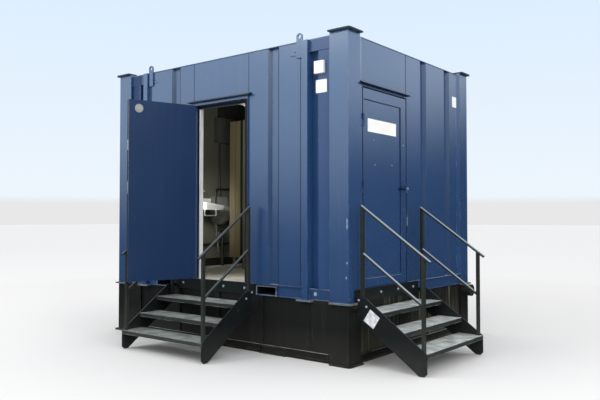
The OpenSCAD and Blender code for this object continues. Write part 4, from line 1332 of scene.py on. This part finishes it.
    def seals(self) -> None:
        """Adds black rubber on the front rebate's stop faces, which also paints the rebate's shade, and black strips of
        painted shade beside the front opening's lock and round the end leaf.
        """
        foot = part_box("front_door_frame")[0].z + self.seal_foot
        left, right = self.opening
        top = self.head + self.head_lap
        rebate = (self.stop, self.stop + self.seal_t)
        hinge = (left + self.seal_hinge[0], left + self.seal_hinge[1])
        lock = (right + self.seal_lock[0], right + self.seal_lock[1])
        low, high = self.end_gap
        hinge_w, lock_w = self.end_gap_w
        bm = bmesh.new()
        # The rebate's rubber also paints its shade; the strips beside the lock and round the end leaf are painted shade
        # in the gaps
        for side, along, up, out in (
                (Side.FRONT, lock, (foot, top), rebate),
                (Side.FRONT, hinge, (foot, top), rebate),
                (Side.FRONT, (hinge[1], lock[0]), (self.head + self.seal_head, top), rebate),
                (Side.FRONT, (right + self.lock_gap[0], right + self.lock_gap[1]), (foot, top), self.gap_out),
                (Side.END, (low - hinge_w, low), (foot, self.end_top), self.gap_out),
                (Side.END, (high, high + lock_w), (foot, self.end_top), self.gap_out),
                (Side.END, (low - hinge_w, high + lock_w), (self.end_top, self.end_top + hinge_w), self.gap_out)):
            slab(bm, side, along, up, out)
        piece("door_seals_and_gap_shade", bm, Paint.RUBBER, Body.CABIN)

    def jamb_lining(self) -> None:
        """Adds the white angle that lines the front door's hinge jamb."""
        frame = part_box("front_door_frame")
        left, face = self.opening[0], self.stop + self.lining_t
        up = (frame[0].z, self.head)
        bm = bmesh.new()
        slab(bm, Side.FRONT, (left, left + self.lining_t), up, (Side.FRONT.span(frame)[0], face))
        slab(bm, Side.FRONT, (left - self.lining_w, left), up, (self.stop, face))
        piece("hinge_jamb_lining", bm, Paint.WHITE, Body.CABIN)

    def gusset(self) -> None:
        """Adds the hollow-cut white gusset in the front opening's upper corner."""
        right = self.opening[1]
        back = Side.FRONT.span(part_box("front_door_frame"))[0] + self.gusset_in
        turns = [math.radians(90 * i / self.gusset_steps) for i in range(self.gusset_steps + 1)]
        width, height = self.gusset_size
        outline = [(right, self.head)] + [
            (right - width * (1 - math.sin(t)), self.head - height * (1 - math.cos(t))) for t in turns]
        bm = bmesh.new()
        prism(bm, [Side.FRONT.point(along, back, z) for along, z in outline], Side.FRONT.outward() * self.gusset_t)
        piece("head_gusset", bm, Paint.WHITE, Body.CABIN)

    def leaf_edge(self) -> None:
        """Adds the seal, the trim and the strike plates on the free edge of the open front leaf."""
        low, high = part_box("front_door_leaf")
        full = ((low.z + self.strip_end, high.z - self.strip_end),)
        self.strip("leaf_edge_seal", self.edge_seal, full, self.strip_t, Paint.RUBBER, Slot.PIPE)
        self.strip("leaf_edge_trim", self.edge_trim, full, self.strip_t, Paint.ALUMINIUM, Slot.ZINC)
        self.strip("leaf_strikes", self.edge_strike, self.strikes, self.strike_t, Paint.ALUMINIUM, Slot.ZINC)

    def strip(self, name: str, depth: tuple[float, float], heights: tuple[tuple[float, float], ...], thick: float,
              finish: Finish, slot: Slot) -> None:
        """Adds strips on the front leaf's free edge, turned open with the leaf.

        Args:
            name: The strips' name.
            depth: The distances of their two sides from the leaf's outer face.
            heights: The foot and the head of each.
            thick: Their thickness.
            finish: Their finish.
            slot: The record's slot for their material; not used.
        """
        centre = Vector((*self.hinge, 0))
        turn = Matrix.Rotation(-math.radians(self.ajar), 4, "Z")
        swing = Matrix.Translation(centre) @ turn @ Matrix.Translation(-centre)
        face = self.leaf_in - Side.FRONT.face()
        bm = bmesh.new()
        for up in heights:
            corners = [Vector((self.leaf_edge_x, face + depth[i], up[j])) for i, j in SQUARE]
            prism(bm, corners, Vector((thick, 0, 0)))
        bmesh.ops.transform(bm, matrix=swing, verts=bm.verts)
        piece(name, bm, finish, Body.FRONT_DOOR)


@dataclass
class Stair(Group):
    """One bolt-on stair.

    Attributes:
        name: The stair's name, which starts its nodes' names.
        side: The side that it hangs on.
        bolts: The places of the hanger's bolts along the face.
        bolt_z: Their height.
        tab_bolts: Each stringer bolt's distance out and height.
        tread_bolts: The places of a tread's bolts, from the stair's middle.
        tread_bolt_in: Their distance behind the tread's nose.
        packer_in: The distance of the hanger's packer from the hanger's ends and its face.
        packer_up: The lower and upper edge of that packer, from the hanger's foot.
        post: The width of a handrail's square post.
        post_in: The distance of the posts' middles from the stair's sides.
        weld_out: The distance of a post's weld from the post and from the tread.
        feet: Each post's distance out and the height of its tread.
        noses: Each tread's nose, out and up.
        sticker: The corners of the bare sticker on one stringer, out and up.
        sticker_t: The thickness of that sticker.
        grit: The treads' finish.
        rail: The handrails' finish.
    """

    name: str = "front"
    side: Side = Side.FRONT
    bolts: tuple[float, ...] = ()
    bolt_z: float = 0.605
    tab_bolts: tuple[tuple[float, float], ...] = ((0.123, 0.52), (0.045, 0.572))
    tread_bolts: tuple[float, ...] = (-0.37, -0.05, 0.05, 0.37)
    tread_bolt_in: float = 35 * MM
    packer_in: float = 2 * MM
    packer_up: tuple[float, float] = (-7 * MM, 0.5 * MM)
    post: float = 28 * MM
    post_in: float = 24 * MM
    weld_out: float = 1 * MM
    feet: tuple[tuple[float, float], ...] = ((0.655, 0.184), (0.070, 0.478))
    noses: tuple[tuple[float, float], ...] = ((0.692, 0.184), (0.484, 0.331), (0.276, 0.478))
    sticker: tuple[tuple[float, float], ...] = ()
    sticker_t: float = 1 * MM
    grit: Finish = Paint.TREAD
    rail: Finish = Paint.RAIL_LESS_LIT

    def __post_init__(self) -> None:
        """Sets the finishes of the stair's own nodes."""
        stem = f"{self.name}_stair_"
        self.finishes = {Paint.STAIR: (stem + "hanger", stem + "stringers"), self.rail: (stem + "handrails",),
                         self.grit: (stem + "treads",)}

    def build(self) -> None:
        """Adds the bolts, the packer behind the hanger, the welds round the posts' feet and the bare sticker."""
        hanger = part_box(f"{self.name}_stair_hanger")
        run = self.side.run()
        out = self.side.span(hanger)[1]
        ends = hanger[0].dot(run), hanger[1].dot(run)
        self.bolt(out, ends)
        bm = bmesh.new()
        slab(bm, self.side, (ends[0] + self.packer_in, ends[1] - self.packer_in),
             (hanger[0].z + self.packer_up[0], hanger[0].z + self.packer_up[1]), (0.0, out - self.packer_in))
        piece(f"{self.name}_hanger_packer", bm, Paint.STAIR, Body.CABIN)
        half = self.post / 2 + self.weld_out
        corners = ((-half, -half), (half, -half), (half, half), (-half, half), (-half, -half))
        loops = [[self.side.point(end + s * self.post_in + a, foot + b, z + self.weld_out) for a, b in corners]
                 for end, s in zip(ends, (1, -1)) for foot, z in self.feet]
        Line.WELD.run(f"{self.name}_post_welds", loops, Paint.STAIR, Body.CABIN, Slot.STAIR)
        if self.sticker:
            bm = bmesh.new()
            prism(bm, [self.side.point(ends[0], o, z) for o, z in self.sticker], run * -self.sticker_t)
            piece(f"{self.name}_sticker", bm, Paint.STICKER, Body.CABIN)

    def bolt(self, out: float, ends: tuple[float, float]) -> None:
        """Adds the bolts of the hanger, the stringers and the treads.

        Args:
            out: The distance of the hanger's face out of the posts' face.
            ends: The hanger's two ends along the face.
        """
        run = self.side.run()
        middle = (ends[0] + ends[1]) / 2
        hanger = [(self.side.point(along, out, self.bolt_z), self.side.outward()) for along in self.bolts]
        stringers = [(self.side.point(end, o, z), run * s) for end, s in zip(ends, (-1, 1)) for o, z in self.tab_bolts]
        treads = [(self.side.point(middle + along, nose - self.tread_bolt_in, z), Vector((0, 0, 1)))
                  for nose, z in self.noses for along in self.tread_bolts]
        for head, part, places in ((Head.HANGER_BOLT, "hanger", hanger), (Head.STRINGER_BOLT, "stringer", stringers),
                                   (Head.TREAD_BOLT, "tread", treads)):
            head.put(f"{self.name}_{part}_bolts", places, Paint.CAST, Body.CABIN, Slot.ZINC)


@dataclass
class Inside(Group):
    """What shows through the open front door.

    Attributes:
        rim: The height of the basin's rim at its high and its low side.
        rim_fall: The width over which the rim falls from the one to the other.
        rim_r: The radius of the basin's corners, and how much of each ring's inset comes off it.
        basin_low: The height of the basin's underside.
        rings: Each ring of the basin: its distance in from the edge, and below the rim or None on the underside.
        upstand: The thickness of the basin's upstand.
        bracket: The points of the bracket under the basin, along and up.
        bracket_in: Its distance behind the basin's front.
        tap: The points of the tap, out of the wall and up.
        bowl: Each ring of the urinal's bowl: its share of the full size and its height.
        bowl_in: How much less deep the bowl is than the plain one.
        bowl_steps: How many parts each ring of it has.
        splash: The height of the splash back's foot, the radius of its corners and its thickness.
        pipes: The points of each dark pipe on the left wall, along and up.
        pipe_out: The distance of their middles from the wall.
        waste: The points of the grey waste pipe.
        box_ends: The two ends of the box under the cistern, along the left side.
        box_low: The height of its foot.
        box_deep: Its depth.
        cove: The height of the cove's top and its thickness.
        skirting: The height of the skirting's top and its thickness.
        skirting_in: The distance of both from the lining's outer sides.
        planks: The first joint between the partition's planks, their pitch and how many there are.
        plank_in: The distance of a joint's ends from the planks' ends.
        plank_foot: The height of the planks' feet over the floor.
        gap: The sides of the partition's gap, which a black strip of painted shade fills, and the far side of the post
            beside it.
        gap_out: How far that strip of painted shade stands out.
        post_out: How far that post stands out.
    """

    finishes: dict[Finish, tuple[str, ...]] = field(default_factory=lambda: {
        Paint.VINYL: ("cabin_floor",), Paint.LINING: ("wall_lining",), Paint.BEECH: ("partition",),
        Paint.CHINA: ("wash_basin", "urinal"), Paint.OLIVE: ("urinal_pipes", "cistern")})
    rim: tuple[float, float] = (1.492, 1.442)
    rim_fall: float = 0.29
    rim_r: tuple[float, float] = (0.07, 0.3)
    basin_low: float = 1.385
    rings: tuple[tuple[float, float | None], ...] = (
        (60 * MM, None), (12 * MM, None), (2 * MM, 30 * MM), (0.0, 8 * MM), (6 * MM, 0.0), (18 * MM, 0.0),
        (30 * MM, 12 * MM), (60 * MM, 40 * MM))
    upstand: float = 0.05
    bracket: tuple[tuple[float, float], ...] = ((-0.078, 1.39), (-0.078, 1.3125), (-0.27, 1.312), (-0.27, 1.39))
    bracket_in: float = 4 * MM
    tap: tuple[tuple[float, float], ...] = ((0.03, 1.52), (0.03, 1.6), (0.045, 1.625), (0.08, 1.635), (0.14, 1.62))
    bowl: tuple[tuple[float, float], ...] = (
        (0.2, 1.19), (0.5, 1.2), (0.78, 1.24), (0.93, 1.3), (1.0, 1.37), (1.0, 1.43), (0.96, 1.44), (0.88, 1.43),
        (0.8, 1.35), (0.3, 1.25))
    bowl_in: float = 4 * MM
    bowl_steps: int = 16
    splash: tuple[float, float, float] = (1.35, 0.06, 18 * MM)
    pipes: tuple[tuple[tuple[float, float], ...], ...] = (
        ((0.223, 1.43), (0.223, 1.625), (0.232, 1.652), (0.26, 1.665), (0.66, 1.672)), ((-0.3, 0.939), (0.66, 0.939)))
    pipe_out: float = 18 * MM
    waste: tuple[tuple[float, float, float], ...] = (
        (-1.42, 0.17, 1.2), (-1.42, 0.17, 1.06), (-1.41, 0.18, 1.03), (-1.41, 0.205, 1.02), (-1.41, 0.22, 1.04),
        (-1.41, 0.22, 1.07), (-1.41, 0.2, 1.09), (-1.41, 0.19, 1.05), (-1.41, 0.19, 0.85))
    box_ends: tuple[float, float] = (-0.5, -0.21)
    box_low: float = 2.28
    box_deep: float = 0.11
    cove: tuple[float, float] = (0.757, 5 * MM)
    skirting: tuple[float, float] = (0.83, 14 * MM)
    skirting_in: float = 9 * MM
    planks: tuple[float, float, int] = (-0.935, 0.11, 21)
    plank_in: float = 2 * MM
    plank_foot: float = 0.137
    gap: tuple[float, float, float] = (-0.846, -0.79, -0.745)
    gap_out: float = 3 * MM
    post_out: float = 22 * MM

    def build(self) -> None:
        """Adds the basin, the bowl and the pipes, and the trim of the partition and the wall."""
        self.basin()
        self.urinal()
        self.plumbing()
        self.trim()

    def ring(self, inset: float, down: float | None) -> list[Vector]:
        """Gives one ring of the basin.

        Args:
            inset: Its distance in from the basin's edge.
            down: Its distance below the rim, or None on the underside.

        Returns:
            The ring's points.
        """
        low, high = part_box("wash_basin")
        middle = (low + high) / 2
        radius, share_off = self.rim_r
        points = []
        for a, b in rounded(high.y - low.y - 2 * inset, high.x - low.x - 2 * inset, radius - inset * share_off, 5):
            y = middle.y + a
            share = min(max((y - low.y) / self.rim_fall, 0.0), 1.0)
            rim = self.rim[0] - (self.rim[0] - self.rim[1]) * share
            points.append(Vector((middle.x + b, y, self.basin_low if down is None else rim - down)))
        return points

    def basin(self) -> None:
        """Replaces the plain basin by one with a sloping rim, an upstand, a bracket and a tap."""
        low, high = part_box("wash_basin")
        wall = Side.LEFT.span((low, high))[1]
        bm = bmesh.new()
        loft(bm, [self.ring(inset, down) for inset, down in self.rings])
        slab(bm, Side.LEFT, (-high.y, -low.y), (self.basin_low, high.z), (wall - self.upstand, wall))
        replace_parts(piece("basin", bm, Paint.CHINA, Body.CABIN), "wash_basin")
        loop = [Vector((high.x - self.bracket_in, y, z)) for y, z in self.bracket]
        tap = [Vector((low.x + x, (low.y + high.y) / 2, z)) for x, z in self.tap]
        Line.BRACKET.run("basin_bracket", [loop], Paint.WHITE, Body.CABIN, Slot.WHITE)
        Line.TAP.run("basin_tap", [tap], Paint.CAST, Body.CABIN, Slot.ZINC)

    def urinal(self) -> None:
        """Replaces the plain urinal by a round bowl in front of a splash back with a round top."""
        low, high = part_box("urinal")
        middle = (low.y + high.y) / 2
        deep, half = high.x - low.x - self.bowl_in, (high.y - low.y) / 2
        turns = [math.radians(180 * i / self.bowl_steps - 90) for i in range(self.bowl_steps + 1)]
        bm = bmesh.new()
        loft(bm, [[Vector((low.x + deep * share * math.cos(t), middle + half * share * math.sin(t), z)) for t in turns]
                  for share, z in self.bowl])
        foot, radius, thick = self.splash
        tall = high.z - foot
        prism(bm, [Vector((low.x, middle + a, foot + tall / 2 + b)) for a, b in rounded(2 * half, tall, radius)],
              Vector((thick, 0, 0)))
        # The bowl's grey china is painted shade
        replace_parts(piece("urinal_bowl", bm, Paint.CHINA_IN_SHADE, Body.CABIN), "urinal")

    def plumbing(self) -> None:
        """Adds the pipes on the left wall, the grey waste under the bowl and the box under the cistern."""
        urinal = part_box("urinal")
        runs = [[Vector((urinal[0].x + self.pipe_out, y, z)) for y, z in path] for path in self.pipes]
        Line.PIPE.run("wall_pipes", runs, Paint.PIPE, Body.CABIN, Slot.PIPE)
        waste = [Vector(point) for point in self.waste]
        Line.WASTE.run("bowl_waste", [waste], Paint.GREY_PIPE, Body.CABIN, Slot.WHITE)
        wall = Side.LEFT.span(urinal)[1]
        bm = bmesh.new()
        slab(bm, Side.LEFT, self.box_ends, (self.box_low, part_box("cistern")[0].z), (wall - self.box_deep, wall))
        piece("flush_box", bm, Paint.GREY_PLASTIC, Body.CABIN, edge=5 * MM)

    def trim(self) -> None:
        """Adds the cove and the skirting on the left wall, and the painted shade in the gap, the post and the joints of
        the partition.
        """
        low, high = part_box("partition")
        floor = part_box("cabin_floor")[1].z
        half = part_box("wall_lining")[1].y - self.skirting_in
        wall = Side.LEFT.span(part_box("urinal"))[1]
        left, right, post = self.gap
        foot = floor + self.plank_foot

        def upright(bm: bmesh.types.BMesh, sides: tuple[float, float], out: float, start: float) -> None:
            """Adds an upright strip on the partition between two sides, from a height to the partition's head."""
            depth = (low.y, low.y - out)
            prism(bm, [Vector((sides[i], depth[j], start)) for i, j in SQUARE], Vector((0, 0, high.z - start)))

        bm = bmesh.new()
        slab(bm, Side.LEFT, (-half, half), (floor, self.cove[0]), (wall - self.cove[1], wall))
        # A black strip of painted shade in the partition's gap
        upright(bm, (left, right), self.gap_out, foot)
        piece("cove_and_gap_shade", bm, Paint.RUBBER, Body.CABIN)
        bm = bmesh.new()
        slab(bm, Side.LEFT, (-half, half), (self.cove[0], self.skirting[0]), (wall - self.skirting[1], wall))
        upright(bm, (right, post), self.post_out, floor)
        piece("skirting_and_post", bm, Paint.LINING, Body.CABIN, edge=1.5 * MM)
        first, pitch, count = self.planks
        places = [first + pitch * i for i in range(count)]
        lines = [[Vector((x, low.y, z)) for z in (foot + self.plank_in, high.z - self.plank_in)]
                 for x in places if not left < x < post]
        Line.PLANK_JOINT.run("plank_joints", lines, Paint.PLANK_JOINT, Body.CABIN, Slot.PARTITION)


@dataclass(frozen=True)
class Lamp:
    """A round soft lamp.

    Attributes:
        name: The lamp's name.
        place: Where it is.
        aim: Where it points.
        size: Its width.
        power: Its power in watts.
        spread: How wide its beam opens, in degrees.
    """

    name: str
    place: tuple[float, float, float]
    aim: tuple[float, float, float]
    size: float
    power: float
    spread: float = 180.0

    def build(self) -> None:
        """Adds the lamp, which the camera doesn't see."""
        light = bpy.data.lights.new(self.name, "AREA")
        light.shape, light.size, light.energy = "DISK", self.size, self.power
        light.spread = math.radians(self.spread)
        made = bpy.data.objects.new(self.name, light)
        made.location = self.place
        made.rotation_euler = (Vector(self.aim) - Vector(self.place)).to_track_quat("-Z", "Y").to_euler()
        made.visible_camera = False
        bpy.context.scene.collection.objects.link(made)


@dataclass
class Studio:
    """The floor, the light and the camera.

    Attributes:
        eye: The camera's place.
        turn: The camera's turn about X and Z, in degrees.
        lens: The lens, in millimetres.
        sensor: The width of the camera's sensor, in millimetres.
        far: How far the camera sees, in metres.
        floor_half: Half the width of the floor.
        sky: The strength of the sky's light.
        sky_colour: The sky's colours as seen: under the horizon, just over it and higher up.
        sky_bands: The shares up the sky where the first passes to the second, and the second to the third.
        lamps: The large lamps outside, and the small ones that light the left wall, the basin and the sill.
        ring_r: The radius of the felt ring round the floor.
        ring_steps: How many parts the ring has.
        ring_levels: Directions in degrees, each with the heights where the felt starts to thin and ends.
        mat_up: The height of the mat's middle.
        felt_colour: The colour of the felt.
        felt_top: The colour of its upper edge, which is the sky's.
    """

    eye: tuple[float, float, float] = (4.776, -5.925, 1.279)
    turn: tuple[float, float] = (91.59, 38.23)
    lens: float = 39.47
    sensor: float = 36.0
    far: float = 300.0
    floor_half: float = 120.0
    sky: float = 1.0
    sky_colour: tuple[str, str, str] = ("#e8e8e8", "#eef6fd", "#dceeff")
    sky_bands: tuple[tuple[float, float], tuple[float, float]] = ((0.022, 0.032), (0.03, 0.32))
    lamps: tuple[Lamp, ...] = (
        Lamp("key", (-5.0, -9.0, 9.0), (0.0, 0.0, 1.4), 6.0, 320.0),
        Lamp("fill", (9.0, -4.5, 6.0), (0.6, -1.0, 1.2), 4.0, 190.0),
        Lamp("room lamp", (-0.1, -0.8, 2.25), (-1.5, 0.3, 2.3), 0.5, 4.0),
        Lamp("basin lamp", (-0.78, -0.98, 1.75), (-1.3, -0.15, 1.4), 0.25, 1.3, 60.0),
        Lamp("sill lamp", (0.02, -0.95, 2.35), (0.02, -1.02, 0.66), 0.3, 0.9, 50.0))
    ring_r: float = 7.5
    ring_steps: int = 72
    ring_levels: tuple[tuple[float, float, float], ...] = (
        (-180, 0.8, 3.2), (-150, 0.5, 3.3), (-70, 0.5, 3.3), (-40, 4.0, 7.0), (10, 4.0, 7.0), (25, 2.0, 4.4),
        (58.5, 2.0, 4.4), (61.5, 3.0, 5.0), (85, 3.0, 5.0), (110, 0.8, 3.2), (180, 0.8, 3.2))
    mat_up: float = 2 * MM
    felt_colour: str = "#1c1e1e"
    felt_top: str = "#e6f2fe"

    def build(self) -> None:
        """Adds the camera, the floor, the felt ring, the sky and the lamps."""
        self.camera()
        self.floor()
        self.flags()
        self.daylight()
        for lamp in self.lamps:
            lamp.build()

    def camera(self) -> None:
        """Adds the camera at the photograph's viewing angle."""
        lens = bpy.data.cameras.new("camera")
        lens.lens, lens.sensor_width, lens.clip_end = self.lens, self.sensor, self.far
        made = bpy.data.objects.new("camera", lens)
        made.location = self.eye
        made.rotation_euler = (math.radians(self.turn[0]), 0.0, math.radians(self.turn[1]))
        bpy.context.scene.collection.objects.link(made)
        bpy.context.scene.camera = made

    def floor(self) -> None:
        """Adds the pale floor."""
        bm = bmesh.new()
        bmesh.ops.create_grid(bm, x_segments=1, y_segments=1, size=self.floor_half)
        self.backdrop("floor", bm, Paint.FLOOR.material())

    def backdrop(self, name: str, bm: bmesh.types.BMesh, material: bpy.types.Material) -> bpy.types.Object:
        """Adds a piece of the studio.

        Args:
            name: Its name.
            bm: Its mesh, which is freed.
            material: Its material.

        Returns:
            The piece.
        """
        mesh = bpy.data.meshes.new(name)
        bm.to_mesh(mesh)
        bm.free()
        mesh.materials.append(material)
        made = bpy.data.objects.new(name, mesh)
        bpy.context.scene.collection.objects.link(made)
        return made

    def flags(self) -> None:
        """Adds a ring of dark felt that only shows in gloss, so that the lower walls mirror a dim horizon."""
        bm = bmesh.new()
        dark = bm.verts.layers.float.new("dark")
        rows: list[list[bmesh.types.BMVert]] = [[], [], []]
        for i in range(self.ring_steps):
            turn = 360 * i / self.ring_steps - 180
            foot = Vector((math.cos(math.radians(turn)), math.sin(math.radians(turn)), 0)) * self.ring_r
            levels = (0.0, self.level(turn, 0), self.level(turn, 1))
            for row, level, share in zip(rows, levels, (1.0, 1.0, 0.0)):
                vert = bm.verts.new(foot + Vector((0, 0, level)))
                vert[dark] = share
                row.append(vert)
        for low, high in zip(rows, rows[1:]):
            for i in range(self.ring_steps):
                bm.faces.new((low[i - 1], low[i], high[i], high[i - 1]))
        # The mat inside the ring keeps the pale floor out of the gloss
        middle = bm.verts.new((0, 0, self.mat_up))
        middle[dark] = 1.0
        for i in range(self.ring_steps):
            bm.faces.new((middle, rows[0][i - 1], rows[0][i]))
        made = self.backdrop("flag_ring", bm, self.felt())
        made.visible_camera = made.visible_diffuse = made.visible_shadow = made.visible_transmission = False

    def level(self, turn: float, end: int) -> float:
        """Gives the ring's height in a direction.

        Args:
            turn: The direction about the cabin, in degrees from +X.
            end: 0 for where the felt starts to thin, 1 for where it ends.

        Returns:
            The height, which passes evenly from one listed direction to the next.
        """
        stops = self.ring_levels
        for a, b in zip(stops, stops[1:]):
            if a[0] <= turn <= b[0]:
                share = (turn - a[0]) / (b[0] - a[0])
                return a[1 + end] + (b[1 + end] - a[1 + end]) * share
        return stops[0][1 + end]

    def felt(self) -> bpy.types.Material:
        """Makes the felt of the ring and the mat, which pales to the sky's colour upwards and lights nothing.

        Returns:
            The felt's material.
        """
        made = bpy.data.materials.new("dark studio felt")
        made.use_nodes = True
        made.cycles.emission_sampling = "NONE"
        tree = made.node_tree
        tree.nodes.clear()
        share = add(tree, "ShaderNodeAttribute", attribute_name="dark")
        soft = add(tree, "ShaderNodeMapRange", {0: share.outputs["Fac"]}, interpolation_type="SMOOTHSTEP")
        tone = add(tree, "ShaderNodeMix", {
            0: soft.outputs[0], 6: linear(self.felt_top), 7: linear(self.felt_colour)}, data_type="RGBA")
        cloth = add(tree, "ShaderNodeEmission", {"Color": tone.outputs[2], "Strength": 1.0})
        add(tree, "ShaderNodeOutputMaterial", {"Surface": cloth.outputs[0]})
        return made

    def daylight(self) -> None:
        """Adds the sky, which lights white and is seen pale blue."""
        scene = bpy.context.scene
        scene.view_settings.view_transform = "Standard"
        world = bpy.data.worlds.new("soft sky")
        scene.world = world
        world.use_nodes = True
        tree = world.node_tree
        tree.nodes.clear()
        # The pale blue is only seen, also in gloss and glass; the light itself is white
        under, low, high = [linear(colour) for colour in self.sky_colour]
        way = add(tree, "ShaderNodeTexCoord").outputs["Generated"]
        up = add(tree, "ShaderNodeSeparateXYZ", {0: way}).outputs[2]
        horizon, height = [add(tree, "ShaderNodeMapRange", {0: up, 1: start, 2: end}) for start, end in self.sky_bands]
        sky = add(tree, "ShaderNodeMix", {0: height.outputs[0], 6: low, 7: high}, data_type="RGBA")
        seen = add(tree, "ShaderNodeMix", {0: horizon.outputs[0], 6: under, 7: sky.outputs[2]}, data_type="RGBA")
        ray = add(tree, "ShaderNodeLightPath").outputs
        shown = ray["Is Camera Ray"]
        for other in ("Is Glossy Ray", "Is Transmission Ray"):
            shown = add(tree, "ShaderNodeMath", {0: shown, 1: ray[other]}, operation="MAXIMUM").outputs[0]
        lit = add(tree, "ShaderNodeBackground", {"Color": linear("#ffffff"), "Strength": self.sky})
        pale = add(tree, "ShaderNodeBackground", {"Color": seen.outputs[2], "Strength": 1.0})
        both = add(tree, "ShaderNodeMixShader", {0: shown, 1: lit.outputs[0], 2: pale.outputs[0]})
        add(tree, "ShaderNodeOutputWorld", {"Surface": both.outputs[0]})


def main() -> None:
    """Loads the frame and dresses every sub-assembly."""
    logging.basicConfig(level=logging.INFO, format="%(name)s: %(message)s")
    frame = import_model()
    groups = [
        Tank(), Shell(), Doors(),
        Stair(name="front", side=Side.FRONT, bolts=(-0.481, -0.185, 0.109, 0.394)),
        # The end stair's paler grit and brighter rails are painted light for its brighter lighting
        Stair(name="end", side=Side.END, bolts=(-1.02, -0.708, -0.397, -0.101),
              sticker=((0.162, 0.502), (0.256, 0.437), (0.192, 0.338), (0.094, 0.401)),
              grit=Paint.TREAD_LIT_AND_TRODDEN, rail=Paint.RAIL),
        Inside(),
    ]
    for group in groups:
        group.dress(frame["nodes"])
        group.build()
    Studio().build()


if __name__ == "__main__":
    main()
